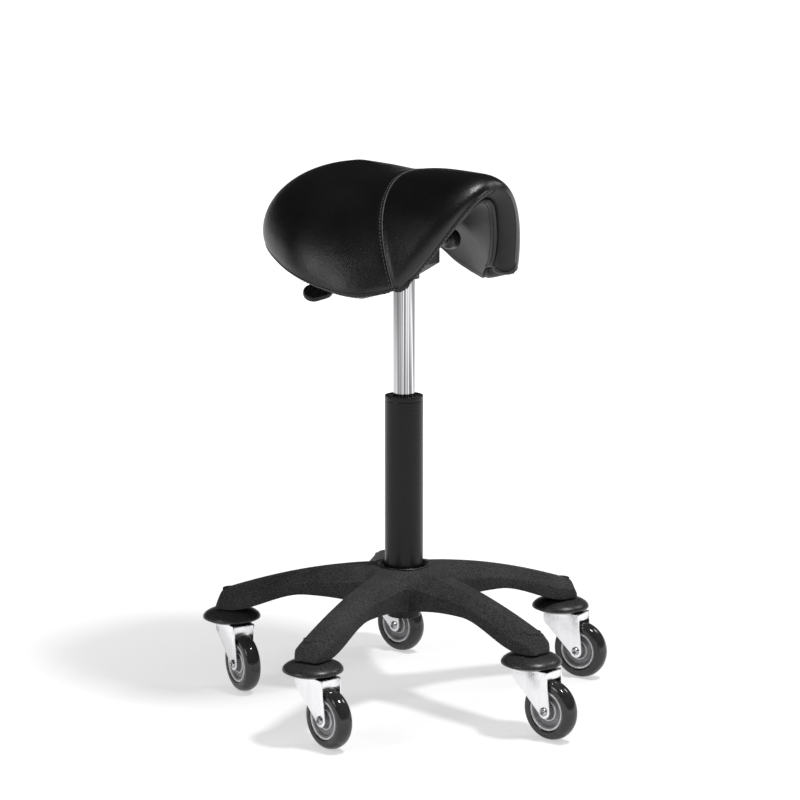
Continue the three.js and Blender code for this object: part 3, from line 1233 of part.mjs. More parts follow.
// A layer under the pad, its rim drawn back along its own last faces
function underLayer(depth, thickness, recess) {
  const grid = (at) => drawBackRim(saddleGrid(0, allColumns, (u, v) => innerPoint(u, v, at)), recess);
  return sheet(grid(depth), grid(depth + thickness), ['last', 'bottom']);
}

function seatShell() {
  const plateTop = PLATE_BOTTOM + PLATE_THICKNESS;
  const layer = underLayer(CLEARANCE, SHELL_THICKNESS, SHELL_EDGE_RECESS);
  const bossTop = PLATE_BOTTOM + SCREW_LENGTH + CLEARANCE;
  const bosses = screwPlaces.map(([x, y]) => disc(BOSS_RADIUS, plateTop + CLEARANCE, bossTop,
    SCREW_SIDES)
    .translate(x, y, 0));
  const holes = screwPlaces.map(([x, y]) => disc(SCREW_RADIUS + CLEARANCE, plateTop - OVERRUN,
    bossTop + CLEARANCE, SCREW_SIDES).translate(x, y, 0));
  return cut(join(layer, ...bosses), ...holes);
}

function undersideLiner() {
  const layer = underLayer(2 * CLEARANCE + SHELL_THICKNESS, LINER_THICKNESS, CLEARANCE);
  const opening = block(-LINER_OPENING_HALF_LENGTH, LINER_OPENING_HALF_LENGTH, -LINER_OPENING_HALF_WIDTH,
    LINER_OPENING_HALF_WIDTH, TILT_AXIS_HEIGHT, SEAT_CREST_HEIGHT);
  return cut(layer, opening);
}

// The whole stool

function baseGroup() {
  const base = new THREE.Group();
  base.add(named('star_base', starBase(), blackNylon));
  base.add(named('hub_insert', hubInsert(), brightSteel));
  base.add(named('column_tube', columnTube(), blackPaint));
  base.add(named('guide_bushing', guideBushing(), greyPlastic));
  base.add(named('thrust_bearing', thrustBearing(), zincSteel));
  base.add(named('retaining_clip', retainingClip(), zincSteel));
  for (let number = 1; number <= ARM_COUNT; number += 1) base.add(caster(number));
  return base;
}

function liftGroup() {
  const lift = new THREE.Group();
  lift.add(named('piston_rod', pistonRod(), brightSteel));
  lift.add(named('rubber_bumper', rubberBumper(), rubber));
  lift.add(named('gas_cylinder', gasCylinder(), brightSteel));
  lift.add(named('valve_pin', valvePin(), zincSteel));
  lift.add(named('mechanism_housing', mechanismHousing(), greyPlastic));
  lift.add(named('release_lever', releaseLever(), blackPaint));
  lift.add(named('lever_pin', leverPin(), zincSteel));
  lift.add(named('lever_paddle', leverPaddle(), shellPlastic));
  lift.add(named('tilt_pin', tiltPin(), zincSteel));
  lift.add(named('lock_washer', lockWasher(), zincSteel));
  lift.add(named('lock_screw', lockScrew(), zincSteel));
  lift.add(named('lock_knob', lockKnob(), hoodPlastic));
  return lift;
}

function seatGroup() {
  const seat = new THREE.Group();
  seat.add(named('tilt_plate', tiltPlate(), blackPaint));
  screwPlaces.forEach((place, k) => seat.add(named(`plate_screw_${k + 1}`, plateScrew(place), zincSteel)));
  seat.add(named('seat_shell', seatShell(), shellPlastic));
  seat.add(named('underside_liner', undersideLiner(), linerVinyl));
  seat.add(named('seat_foam', seatFoam(), foam));
  seat.add(named('rear_cover', rearCover(), blackLeather));
  seat.add(named('front_cover', frontCover(), blackLeather));
  seat.add(named('border_band', borderBand(), bandLeather));
  return seat;
}

const group = new THREE.Group();
group.add(baseGroup(), liftGroup(), seatGroup());

// The origin is on the floor under the middle of the stool's footprint
const footprint = new THREE.Box3().setFromObject(group, true).getCenter(new THREE.Vector3());
group.position.set(-footprint.x, -footprint.y, 0);

export default group;
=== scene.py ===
"""Looks for the saddle stool. Everything is in metres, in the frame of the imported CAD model."""
import json
import math

import bmesh
import bpy
import numpy as np
from mathutils import Matrix, Vector


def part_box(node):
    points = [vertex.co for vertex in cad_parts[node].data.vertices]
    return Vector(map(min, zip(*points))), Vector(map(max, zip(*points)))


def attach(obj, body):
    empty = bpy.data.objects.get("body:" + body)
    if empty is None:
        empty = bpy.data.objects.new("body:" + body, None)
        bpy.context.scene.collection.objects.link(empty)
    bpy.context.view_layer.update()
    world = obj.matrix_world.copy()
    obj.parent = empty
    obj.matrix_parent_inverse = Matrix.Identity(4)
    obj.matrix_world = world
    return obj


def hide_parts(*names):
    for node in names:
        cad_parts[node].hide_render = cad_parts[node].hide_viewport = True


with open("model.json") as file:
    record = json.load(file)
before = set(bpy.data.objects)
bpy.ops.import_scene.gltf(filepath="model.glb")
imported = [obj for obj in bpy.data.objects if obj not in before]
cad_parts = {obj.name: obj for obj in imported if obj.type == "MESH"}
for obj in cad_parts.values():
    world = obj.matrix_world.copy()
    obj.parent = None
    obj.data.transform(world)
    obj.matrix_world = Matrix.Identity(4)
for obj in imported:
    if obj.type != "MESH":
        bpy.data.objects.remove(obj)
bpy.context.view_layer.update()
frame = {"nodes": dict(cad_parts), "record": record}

# Camera, placed about the column's axis
CAMERA_DISTANCE = 3.4
CAMERA_HEIGHT = 1.0379
CAMERA_SIDE = -0.0052
CAMERA_TURN = math.radians(42)
CAMERA_PITCH = math.radians(10.69)
CAMERA_LENS = 120
SENSOR_WIDTH = 36

# Studio: the floor's own glow grows with the distance from the stool, the sky fades with height
FLOOR_HALF = 60
FLOOR_TONES = (0.59, 0.61)
FLOOR_ROUGHNESS = 0.9
FLOOR_GLOW = 0.52
GLOW_START = 0.35
GLOW_END = 2.2
ROOM_LIGHT = 0.28
CEILING_TONE = 0.03
HORIZON_END = 0.16
# Each lamp's place and aim (right of, beyond and above the column's foot), width, height, power
LAMPS = {
    "key": ((1.02, -0.65, 2.9), (0, 0, 0.3), 0.4, 0.4, 54),
    "fill": ((-1.9, -1.35, 1.35), (0, 0, 0.6), 0.6, 0.9, 12),
    "rim": ((1.9, 0.9, 2.0), (0, 0, 0.6), 0.5, 0.5, 8),
}

# Noise textures: how many of their features there are to a metre, their detail and their stretch
LEATHER_CLOUDS = (14, 4)
LEATHER_CREASES = (60, 5)
LEATHER_FINE_GRAIN = (1600, 3)
PLASTIC_CLOUDS = (20, 3)
PLASTIC_SPARKS = (620, 2)
PAINT_CLOUDS = (12, 2)
PAINT_PEEL = (450, 2)
WHEEL_CLOUDS = (90, 3)
# The chrome's wide streaks are painted reflections, dark and bright by turns
CHROME_PAINTED_REFLECTION_STREAKS = (105, 1, (1, 1, 0.01))
CHROME_FINE_STREAKS = (480, 2, (1, 1, 0.004))
FLOOR_CLOUDS = (3, 2)
METAL_LINE_DETAIL = 4
# Cells to a metre, and the depths of the bumps
LEATHER_PORES = 700
FOAM_CELLS = 900
LEATHER_CREASE_DEPTH = 0.0004
PAINT_PEEL_DEPTH = 0.00003
WHEEL_CLOUD_DEPTH = 0.00005
FOAM_CELL_DEPTH = 0.0002
CHROME_LINE_DEPTH = 0.00001
# The part of a texture's values that counts, and what its ends make of a tone and of a roughness
VALUE_LOW_SHARE = 0.3
VALUE_HIGH_SHARE = 0.7
LEATHER_TONE_SHARES = (0.75, 1.3)
PLASTIC_TONE_SHARES = (0.25, 1.9)
PAINT_TONE_SHARES = (0.85, 1.15)
WHEEL_TONE_SHARES = (0.8, 1.2)
METAL_ROUGHNESS_SHARES = (0.7, 1.4)
WHEEL_ROUGHNESS_SHARES = (0.7, 1.3)
LEATHER_ROUGHNESS_CHANGES = (-0.05, 0.06)
PLASTIC_ROUGHNESS_CHANGES = (-0.08, 0.1)
PAINT_ROUGHNESS_CHANGES = (-0.04, 0.05)
CHROME_ROUGHNESSES = (0.05, 0.14)
FOAM_ROUGHNESS = 0.9
FOAM_COLOURS = ((0.5, 0.44, 0.28), (0.72, 0.66, 0.46))
PLASTIC_CLOUD_SHARE = 0.22
WHEEL_REFRACTION = 1.49
# How blue the greys are, and where along the chrome's wide streaks each tone of its painted reflections
# stands
GREY_BLUE_SHARE = 0.03
METAL_BLUE_SHARE = 0.02
CHROME_PAINTED_REFLECTION_TONES = [(0, 0.2), (0.36, 0.09), (0.45, 0.42), (0.52, 0.16), (0.57, 0.95), (0.63, 0.22), (1, 0.5)]
CHROME_LINE_COLOURS = [(0.4, (0.35, 0.35, 0.36)), (0.55, (1, 1, 1))]
CHROME_LINE_SHARE = 0.5

# How finely things are turned and bent
FINE_SIDES = 96
ROUND_SIDES = 72
SMALL_SIDES = 40
SOCKET_SIDES = 32
CORNER_STEPS = 4
CORNER_REACH_SHARE = 0.45
TURNED_EDGE = 0.0008
FINE_EDGE = 0.0006
POINT_WELD = 0.000001
LEAST_LENGTH = 1e-12
# Edges sharper than this stay sharp, or are rounded where a mesh is bevelled
SHARP_DEGREES = 35
STAR_SHARP_DEGREES = 28
BEVEL_DEGREES = 30

# Saddle: each line runs from the crest to the lower edge. Columns: crest x, edge x (shares of
# the seat length), crest drop, edge drop (of the drop), edge y (of the half width), pull at the
# crest (of the half width) and pull at the edge (of the drop).
SEAT_CREST_HEIGHT = 0.702
SEAT_LENGTH = 0.332
SEAT_HALF_WIDTH = 0.166
SEAT_DROP = 0.146
SADDLE_LINE_SHARES = [
    (-0.211, -0.557, 0, 0.667, 0, 0.425, 0.353),
    (-0.194, -0.445, 0.002, 0.687, 0.613, 0.593, 0.324),
    (-0.129, -0.185, 0.023, 0.84, 0.945, 0.56, 0.446),
    (-0.001, 0.015, 0.047, 0.959, 0.97, 0.562, 0.43),
    (0.184, 0.162, 0.016, 1, 0.888, 0.539, 0.233),
    (0.453, 0.279, 0.038, 0.954, 0.7, 0.42, 0.192),
]
# The same lines' turn at the crest, and their turn and rise at the edge
SADDLE_LINE_DEGREES = [
    (180, 180, 85),
    (148, 144, 107),
    (115, 113, 93),
    (95, 102, 80),
    (92, 118, 68),
    (82, 154, 20),
]
FULL_TURN = 360
SADDLE_COLUMNS = 56
SADDLE_ROWS = 40
ROW_CROWDING_SHARE = 0.03
SLOPE_STEP_SHARE = 0.001
NEAR_CREST_SHARE = 0.06
SEAM_WELD = 0.00002
PAD_THICKNESS = 0.034
PAD_CREST_THICKNESS = 0.027
CREST_THIN_SHARE = 0.45
FRONT_THIN_SHARE = 0.4
FRONT_ROLL_RADIUS = 0.015
FRONT_ROLL_START_SHARE = 0.935
FRONT_ROLL_FADE_POWER = 6
INNER_FRONT_SHARE = 0.97
CORNER_SHARE = 0.15
CORNER_TURN_SHARE = 0.42
SEAM_CREST_SHARE = 0.687
SEAM_FOOT_SHARE = 0.99
SEAM_CURVE_POWER = 1.5
SEAM_SAMPLES = 90
EDGE_BULGE = 0.004
FOOT_BULGE = 0.0105
BULGE_POWER = 0.8
BORDER_SAMPLES = 120
BORDER_ROWS = 15
COVER_LIFT = 0.0013
FOAM_INSET = 0.003
SEAM_DIP = 0.0013
SEAM_DIP_WIDTH = 0.0035
RIM_DIP = 0.0012
RIM_DIP_WIDTH = 0.004
RIM_SAMPLES = 200
WELT_RADIUS = 0.0009
WAIST_WELT_RADIUS = 0.00072
WELT_SINK_SHARE = 0.6
WELT_LIFT_SHARE = 0.2
WELT_SIDES = 8
STITCH_LENGTH = 0.0034
STITCH_PITCH = 0.0052
STITCH_RADIUS = 0.0005
STITCH_OFFSET = 0.0034
STITCH_SIDES = 6
STITCH_LIFT_SHARE = 0.4
# A stitch's thickness along its length
STITCH_SHARES = [(-0.5, 0.35), (-0.36, 0.85), (0, 1), (0.36, 0.85), (0.5, 0.35)]
BORDER_STITCH_SHARE = 0.2
# The foot's U-shaped seam: how far round the rim it starts and how deep it hangs
FOOT_SEAM_SHARE = 1.16
FOOT_SEAM_DEPTH_SHARE = 0.1
FOOT_SEAM_END_SHARE = 0.02
FOOT_SEAM_SAMPLES = 24
# The border's tucked edge: shares of its reach and of its depth
TUCK_DEPTH = 0.0016
TUCK_REACH = 0.009
TUCK_SHARES = [(0.3, 0.9), (0.65, 1), (1, 0.6)]
SHELL_TOP_DEPTH = 0.0008
SHELL_BOTTOM_DEPTH = 0.0064
SHELL_RECESS = 0.006
BOSS_RADIUS = 0.008
BOSS_BORE_RADIUS = 0.0028
BOSS_DEPTH = 0.006
BOSS_ROOF = 0.0015
LINER_DEPTH = 0.0076
LINER_EDGE_RADIUS = 0.0036
LINER_ROLL_STEPS = 9
LINER_TUCK = 0.0003
LINER_STITCH_OFFSET = 0.008
LINER_OPENING_HALF_LENGTH = 0.074
LINER_OPENING_HALF_WIDTH = 0.040

# Base
ARM_COUNT = 5
ARM_ROOT_RADIUS = 0.030
ARM_FACET_END_RADIUS = 0.2445
ARM_TIP_RADIUS = 0.2535
ARM_TOP_DROP = 0.0455
ARM_TOP_POWER = 1.7
ARM_TIP_DROP = 0.020
ARM_END_BOTTOM = 0.108
ARM_ARCH_TOP = 0.1345
ARM_ARCH_RADIUS = 0.130
ARM_HALF_WIDTH = 0.024
ARM_FACET_HALF_WIDTH = 0.0095
ARM_KNEE_RISE_SHARE = 0.52
ARM_KNEE_WIDTH_SHARE = 0.97
ARM_WALL = 0.003
ARM_CAVITY_START_RADIUS = 0.050
ARM_STATIONS = 34
ARM_STATION_SHARES = [0, 0.1, 0.25, 0.5, 0.78, 0.93, 1]
ARM_WIDTH_SHARES = [1.45, 1.26, 1, 0.91, 0.95, 0.95, 0.78]
WIDTH_TABLE_STEPS = 60
WIDTH_BLUR_STEPS = 9
# How the section's edges are broken, in shares of the edge
ARM_EDGE = 0.0011
CROWN_MIDDLE_SHARE = 0.6
CROWN_LIFT_SHARES = (0.12, 0.1)
FACET_BREAK_SHARES = (0.06, 0.18, 0.09)
KNEE_BREAK_SHARE = 0.12
FOOT_BREAK_SHARE = 0.4
FACET_MOST_SHARE = 0.78
NOSE_STATIONS = 8
NOSE_WIDTH_SHARE = 0.48
NOSE_FACET_SHARE = 0.14
NOSE_DROP_POWER = 1.3
NOSE_WIDTH_POWER = 2.2
RIB_THICKNESS = 0.0024
RIB_STATIONS = 20
RIB_FOOT_GAP = 0.001
CROSS_RIBS = 2
SOCKET_RADIUS = 0.0118
SOCKET_BORE_SHARE = 0.3125
SOCKET_FOOT_GAP = 0.0005
HUB_RADIUS = 0.046
HUB_BOTTOM = 0.127
HUB_BORE_RADIUS = 0.0303
HUB_BORE_DROP = 0.0004
HUB_KNEE_RISE_SHARE = 0.62
HUB_SLICES = 49
HUB_EDGE_RADIUS = 0.0026
HUB_CORE_HEIGHT = 0.012
# How far the hub's facet and knee reach between two arms
FILLET_TOP_RADIUS = 0.044
FILLET_KNEE_RADIUS = 0.054
FILLET_POWER = 12
HUB_REACH = 0.072
REACH_ROUNDS = 30
LEAST_SINE = 0.01
CROWN_EDGE_WIDTH = 0.004
FOOT_EDGE_WIDTH = 0.0045
FOOT_RETURN = 0.006
# The hub dips below an arm's own skin, where the arm covers it
HUB_SUNK = 0.00004
HUB_SUNK_UNDER_ARM = 0.004
UNDER_ARM_TURN = 0.3
UNDER_ARM_FADE = 0.15

# Column
TUBE_RADIUS = 0.025
TUBE_WALL = 0.0018
TUBE_BORE_RADIUS = 0.0043
TUBE_FOOT_RADIUS = 0.0218
TUBE_FOOT_HEIGHT = 0.010
TUBE_TAPER_RADIUS = 0.0236
TUBE_TAPER_TOP = 0.1725
TUBE_LINING = 0.07
# The groove under the tube's collar: shares of its depth and of its height
GROOVE_DROP = 0.0072
GROOVE_DEPTH = 0.0003
GROOVE_SHARES = [(0, 1), (1, 0.9167), (1, 0.8333), (0, 0.75)]
# The guide in the tube's mouth: shares of its radius and of its step
GUIDE_RADIUS = 0.0229
GUIDE_LENGTH = 0.062
GUIDE_STEP = 0.0016
GUIDE_SHARES = [(1, 0), (0.8952, 0), (0.8646, 1), (0.7948, 1), (0.7598, 0), (0.7074, 0), (0.6245, 1.375)]
# The ring round the tube's foot: shares of its radius and of its depth
RING_RADIUS = 0.034
RING_BORE_RADIUS = 0.0253
RING_SLEEVE_RADIUS = 0.030
RING_LIP_RADIUS = 0.0328
RING_LIP_HEIGHT = 0.0017
RING_DEPTH = 0.006
RING_SHARES = [(0.9735, 0), (0.9088, 0.0333), (0.8912, 0.2667), (0.8382, 0.3), (0.7706, 0.75), (0.7441, 1)]
CHROME_RADIUS = 0.014
CHROME_BORE_RADIUS = 0.0053
CHROME_STRAIGHT_LENGTH = 0.215
CHROME_TAPER_RADIUS = 0.013
VALVE_BORE_RADIUS = 0.0038

# Seat mechanism: the knob's outline in shares of its radius and of its head's length
KNOB_RADIUS = 0.013
KNOB_BORE_RADIUS = 0.0041
KNOB_NECK_RADIUS = 0.007
KNOB_HEAD_LENGTH = 0.021
KNOB_EDGE = 0.0015
KNOB_SIDES = 48
KNOB_SHARES = [(0.8846, 0.881), (1, 0.7143), (1, 0.1905), (0.8077, 0.0381), (0.0154, 0)]
# The lever's rod: shares of its reach and of its drop
LEVER_TURN = math.radians(-112.2)
LEVER_HEIGHT = 0.607
LEVER_REACH = 0.121
LEVER_DROP = 0.061
LEVER_ROD_RADIUS = 0.0041
LEVER_ROD_SIDES = 16
ROUTE_STEPS = 8
LEVER_SHARES = [(0.2149, 0.0033), (0.3306, 0.0049), (0.5124, 0.1475), (0.7273, 0.5902),
                (0.9174, 0.9344), (1, 1)]

# Casters
PIN_BORE_RADIUS = 0.0058
HOOD_RIM_RADIUS = 0.0386
HOOD_CROWN_RISE = 0.0138
HOOD_START_DEGREES = 6
HOOD_END_DEGREES = 82
HOOD_STEPS = 22
HOOD_SIDES = 80
HOOD_WALL = 0.0026
HOOD_INNER_RADIUS = 0.025
HOOD_INNER_RISE = 0.0075
HOOD_SKIRT_INNER_RADIUS = 0.0284
HOOD_SKIRT_RADIUS = 0.031
HOOD_LIP_RADIUS = 0.0365
HOOD_LIP_DROP = 0.0012
HOOD_LIP_EDGE = 0.0002
FORK_TOP = 0.0896
FORK_LEAD = 0.0175
FORK_LEAD_EDGE_HEIGHT = 0.016
FORK_LEAD_STEPS = 9
FORK_TAIL = 0.0365
FORK_TAIL_STEPS = 8
FORK_EYE_RADIUS = 0.009
FORK_EYE_START_DEGREES = 203
FORK_EYE_STEPS = 18
FORK_INNER = 0.0119
FORK_THICKNESS = 0.0024
FORK_FLARE = 0.0016
FORK_BACK_HEIGHT = 0.011
FORK_LEG_BEVEL = 0.0007
FORK_PLATE_BEVEL = 0.0009
RACE_RADIUS = 0.016
RACE_SUNK = 0.001
RACE_SIDE_TOP = 0.097
RACE_SHOULDER_RADIUS = 0.014
RACE_SHOULDER_TOP = 0.102
RACE_TOP = 0.1045
# The axle bolt's head and its recess: shares of the head's radius and of its height
AXLE_HEAD_RADIUS = 0.0056
AXLE_HEAD_HEIGHT = 0.003
AXLE_GAP = 0.0002
AXLE_SHARES = [(0, -0.4), (0.4107, -0.4), (0.4643, 0.8), (0.5714, 1), (0.8036, 0.8667), (0.9821, 0.4),
               (1, 0), (0.7143, 0)]
WHEEL_RADIUS = 0.0385
WHEEL_HALF_WIDTH = 0.011
TYRE_EDGE = 0.002
TYRE_SHARES = [(0.66, 0.80), (0.675, 0.915), (0.72, 0.97), (0.78, 0.985), (0.85, 0.95), (0.915, 0.84),
               (0.96, 0.62), (0.99, 0.3), (1, 0)]
# The core and the near-white lines on it that paint highlights on its rims: shares of the core's radius
# and of its half width
CORE_RADIUS = 0.0249
CORE_HALF_WIDTH = 0.0112
CORE_SHARES = [(0.1847, 1), (0.3454, 1), (0.3695, 0.9286), (0.3855, 0.6429), (0.4739, 0.5179),
               (0.506, 0.5893), (0.5462, 0.5179), (0.7711, 0.5536), (0.8353, 0.75), (0.8916, 0.7857),
               (1, 0.75)]
HIGHLIGHT_LINE_EDGE = 0.0005
HIGHLIGHT_LINE_SHARES = [
    [(0.9076, 0.7411), (0.9197, 0.875), (0.9639, 0.9286), (1.008, 0.8839), (1.0201, 0.7411)],
    [(0.4498, 0.4821), (0.4578, 0.625), (0.498, 0.6696), (0.5382, 0.625), (0.5502, 0.4821)],
]


def centre(node):
    low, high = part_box(node)
    return (Vector(low) + Vector(high)) / 2


def low_z(node):
    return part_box(node)[0][2]


def high_z(node):
    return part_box(node)[1][2]


AXIS = Vector((centre("column_tube").x, centre("column_tube").y, 0))
AT_AXIS = Matrix.Translation(AXIS)


# Meshes

def grid_faces(rows, columns, start=0, flip=False):
    faces = []
    for i in range(rows - 1):
        for j in range(columns - 1):
            a = start + i * columns + j
            face = (a, a + columns, a + columns + 1, a + 1)
            faces.append(face[::-1] if flip else face)
    return faces


def mesh_from(name, points, faces, weld=POINT_WELD):
    mesh = bpy.data.meshes.new(name)
    mesh.from_pydata([tuple(p) for p in points], [], faces)
    shape = bmesh.new()
    shape.from_mesh(mesh)
    bmesh.ops.remove_doubles(shape, verts=shape.verts, dist=weld)
    bmesh.ops.recalc_face_normals(shape, faces=shape.faces)
    shape.to_mesh(mesh)
    shape.free()
    return mesh


def piece(name, mesh, body, material, slot, replaced=(), smooth_angle=SHARP_DEGREES):
    """A finished piece: shaded, painted, carried by a body and standing for its CAD nodes."""
    mesh.materials.clear()
    mesh.materials.append(material)
    mesh.shade_smooth()
    shape = bpy.data.objects.new(name, mesh)
    bpy.context.scene.collection.objects.link(shape)
    if smooth_angle:
        mesh.set_sharp_from_angle(angle=math.radians(smooth_angle))
    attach(shape, body)
    if replaced:
        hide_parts(*replaced)
    return shape


def bevelled(mesh, width):
    """Rounds a mesh's sharp edges."""
    shape = bmesh.new()
    shape.from_mesh(mesh)
    sharp = [e for e in shape.edges
             if len(e.link_faces) == 2 and e.calc_face_angle(0) > math.radians(BEVEL_DEGREES)]
    bmesh.ops.bevel(shape, geom=sharp, offset=width, segments=2, profile=0.5,
                    affect="EDGES", clamp_overlap=True)
    shape.to_mesh(mesh)
    shape.free()
    return mesh


def lathe(name, profile, sides=ROUND_SIDES, along_y=False, closed=False):
    """Turns a profile of (radius, height) points about Z, or about Y for an axle."""
    turns = np.linspace(0, 2 * math.pi, sides + 1)
    outline = list(profile) + ([profile[0]] if closed else [])
    points = []
    for turn in turns:
        for radius, height in outline:
            x, y = radius * math.cos(turn), radius * math.sin(turn)
            points.append((x, height, y) if along_y else (x, y, height))
    return mesh_from(name, points, grid_faces(sides + 1, len(outline)))


def rounded(profile, radius):
    """The same open profile with its inner corners rounded."""
    result = [profile[0]]
    for before, corner, after in zip(profile, profile[1:], profile[2:]):
        here = Vector(corner)
        back = Vector(before) - here
        ahead = Vector(after) - here
        reach = min(radius, back.length * CORNER_REACH_SHARE, ahead.length * CORNER_REACH_SHARE)
        start = here + back.normalized() * reach
        end = here + ahead.normalized() * reach
        for k in range(CORNER_STEPS + 1):
            t = k / CORNER_STEPS
            result.append(tuple(start * (1 - t) ** 2 + here * 2 * t * (1 - t) + end * t * t))
    result.append(profile[-1])
    return result


def scaled(shares, width, height):
    """Outline points from shares of a width and of a height."""
    return [(x * width, y * height) for x, y in shares]


def both_faces(side):
    """An outline on one side of a wheel's middle, carried on down the other side."""
    return side + [(r, -y) for r, y in reversed(side)]


def plate(name, outline, y_low, y_high):
    """A flat outline in x and z, thickened along Y."""
    count = len(outline)
    points = [(x, y_low, z) for x, z in outline] + [(x, y_high, z) for x, z in outline]
    faces = [tuple(range(count)), tuple(range(2 * count - 1, count - 1, -1))]
    faces += [(k, (k + 1) % count, count + (k + 1) % count, count + k) for k in range(count)]
    return mesh_from(name, points, faces)


def box_mesh(name, low, high):
    outline = [(low[0], low[2]), (high[0], low[2]), (high[0], high[2]), (low[0], high[2])]
    return plate(name, outline, low[1], high[1])


def joined(name, meshes):
    shape = bmesh.new()
    for mesh in meshes:
        shape.from_mesh(mesh)
        bpy.data.meshes.remove(mesh)
    mesh = bpy.data.meshes.new(name)
    shape.to_mesh(mesh)
    shape.free()
    return mesh


def moved(mesh, matrix):
    mesh.transform(matrix)
    return mesh


def tube_faces(rings, sides, start=0):
    """The faces of a closed tube between rings of points, with a lid at each end."""
    faces = []
    for k in range(rings - 1):
        for j in range(sides):
            a, b = start + k * sides, start + (k + 1) * sides
            faces.append((a + j, b + j, b + (j + 1) % sides, a + (j + 1) % sides))
    faces.append(tuple(range(start, start + sides)))
    faces.append(tuple(reversed(range(start + (rings - 1) * sides, start + rings * sides))))
    return faces


def swept(name, path, radius, sides):
    """A round tube along a path."""
    path = [Vector(p) for p in path]
    last = len(path) - 1
    points = []
    up = Vector((0, 0, 1))
    for k, here in enumerate(path):
        along = (path[min(k + 1, last)] - path[max(k - 1, 0)]).normalized()
        side = along.cross(up).normalized()
        up = side.cross(along).normalized()
        for j in range(sides):
            turn = 2 * math.pi * j / sides
            points.append(here + side * radius * math.cos(turn) + up * radius * math.sin(turn))
    return mesh_from(name, points, tube_faces(len(path), sides))


def along_path(path, normals, pitch):
    """Evenly spaced places on a path, each with its direction and its normal."""
    path = np.asarray(path)
    lengths = np.concatenate([[0], np.cumsum(np.linalg.norm(np.diff(path, axis=0), axis=1))])
    count = int(lengths[-1] / pitch)
    places = (np.arange(count) + 0.5) * pitch
    point = np.stack([np.interp(places, lengths, path[:, k]) for k in range(3)], 1)
    ahead = np.stack([np.interp(places + pitch / 4, lengths, path[:, k]) for k in range(3)], 1)
    normal = np.stack([np.interp(places, lengths, np.asarray(normals)[:, k]) for k in range(3)], 1)
    return point, ahead - point, normal


def stitches(name, path, normals, material, slot):
    """A row of sewn stitches: one short rounded thread after another."""
    points, faces = [], []
    for here, along, up in zip(*along_path(path, normals, STITCH_PITCH)):
        along, up = Vector(along).normalized(), Vector(up).normalized()
        side = along.cross(up).normalized()
        faces += tube_faces(len(STITCH_SHARES), STITCH_SIDES, len(points))
        for place, width in STITCH_SHARES:
            for j in range(STITCH_SIDES):
                turn = 2 * math.pi * j / STITCH_SIDES
                points.append(Vector(here) + along * place * STITCH_LENGTH
                              + side * STITCH_RADIUS * width * math.cos(turn)
                              + up * STITCH_RADIUS * (STITCH_LIFT_SHARE + width * math.sin(turn)))
    return piece(name, mesh_from(name, points, faces), "seat", material, slot, smooth_angle=0)


# Materials

def shader(name):
    material = bpy.data.materials.new(name)
    material.use_nodes = True
    return material, material.node_tree, material.node_tree.nodes["Principled BSDF"]


def texture(tree, kind, scale, stretch=(1, 1, 1)):
    """A texture in object space, so its grain has the same real size everywhere."""
    place = tree.nodes.new("ShaderNodeTexCoord")
    mapping = tree.nodes.new("ShaderNodeMapping")
    mapping.inputs["Scale"].default_value = stretch
    made = tree.nodes.new(kind)
    made.inputs["Scale"].default_value = scale
    tree.links.new(place.outputs["Object"], mapping.inputs["Vector"])
    tree.links.new(mapping.outputs["Vector"], made.inputs["Vector"])
    return made


def noise(tree, scale, detail, stretch=(1, 1, 1)):
    made = texture(tree, "ShaderNodeTexNoise", scale, stretch)
    made.inputs["Detail"].default_value = detail
    return made.outputs["Fac"]


def cells(tree, scale):
    return texture(tree, "ShaderNodeTexVoronoi", scale).outputs["Distance"]


def spread(tree, source, start, end, low, high):
    """Carries a value from one range over to another."""
    made = tree.nodes.new("ShaderNodeMapRange")
    made.inputs["From Min"].default_value = start
    made.inputs["From Max"].default_value = end
    made.inputs["To Min"].default_value = low
    made.inputs["To Max"].default_value = high
    tree.links.new(source, made.inputs["Value"])
    return made.outputs["Result"]


def ramp(tree, source, stops):
    """Colours by a value: stops of (place, colour), from the lowest place to the highest."""
    made = tree.nodes.new("ShaderNodeValToRGB")
    elements = made.color_ramp.elements
    for place, _ in stops[1:-1]:
        elements.new(place)
    elements[0].position = stops[0][0]
    elements[-1].position = stops[-1][0]
    for element, (_, colour) in zip(elements, stops):
        element.color = (*colour, 1)
    tree.links.new(source, made.inputs["Fac"])
    return made.outputs["Color"]


def arithmetic(tree, operation, first, second):
    made = tree.nodes.new("ShaderNodeMath")
    made.operation = operation
    tree.links.new(first, made.inputs[0])
    tree.links.new(second, made.inputs[1])
    return made.outputs["Value"]


def tinted(tree, main, source, low, high):
    """Blends between two colours by a texture's value."""
    colour = ramp(tree, source, [(VALUE_LOW_SHARE, low), (VALUE_HIGH_SHARE, high)])
    tree.links.new(colour, main.inputs["Base Color"])


def roughened(tree, main, source, low, high):
    tree.links.new(spread(tree, source, VALUE_LOW_SHARE, VALUE_HIGH_SHARE, low, high),
                   main.inputs["Roughness"])


def bumped(tree, main, *layers):
    """Stacks textures as bumps, each with its own depth in metres."""
    previous = None
    for source, depth in layers:
        bump = tree.nodes.new("ShaderNodeBump")
        bump.inputs["Distance"].default_value = depth
        bump.inputs["Strength"].default_value = 1
        tree.links.new(source, bump.inputs["Height"])
        if previous:
            tree.links.new(previous.outputs["Normal"], bump.inputs["Normal"])
        previous = bump
    tree.links.new(previous.outputs["Normal"], main.inputs["Normal"])


def grey(value, blue=GREY_BLUE_SHARE):
    return (value, value, value * (1 + blue))


def toned(tree, main, source, tone, shares):
    """Makes a grey darker and lighter by a texture's value."""
    tinted(tree, main, source, *[grey(tone * part) for part in shares])


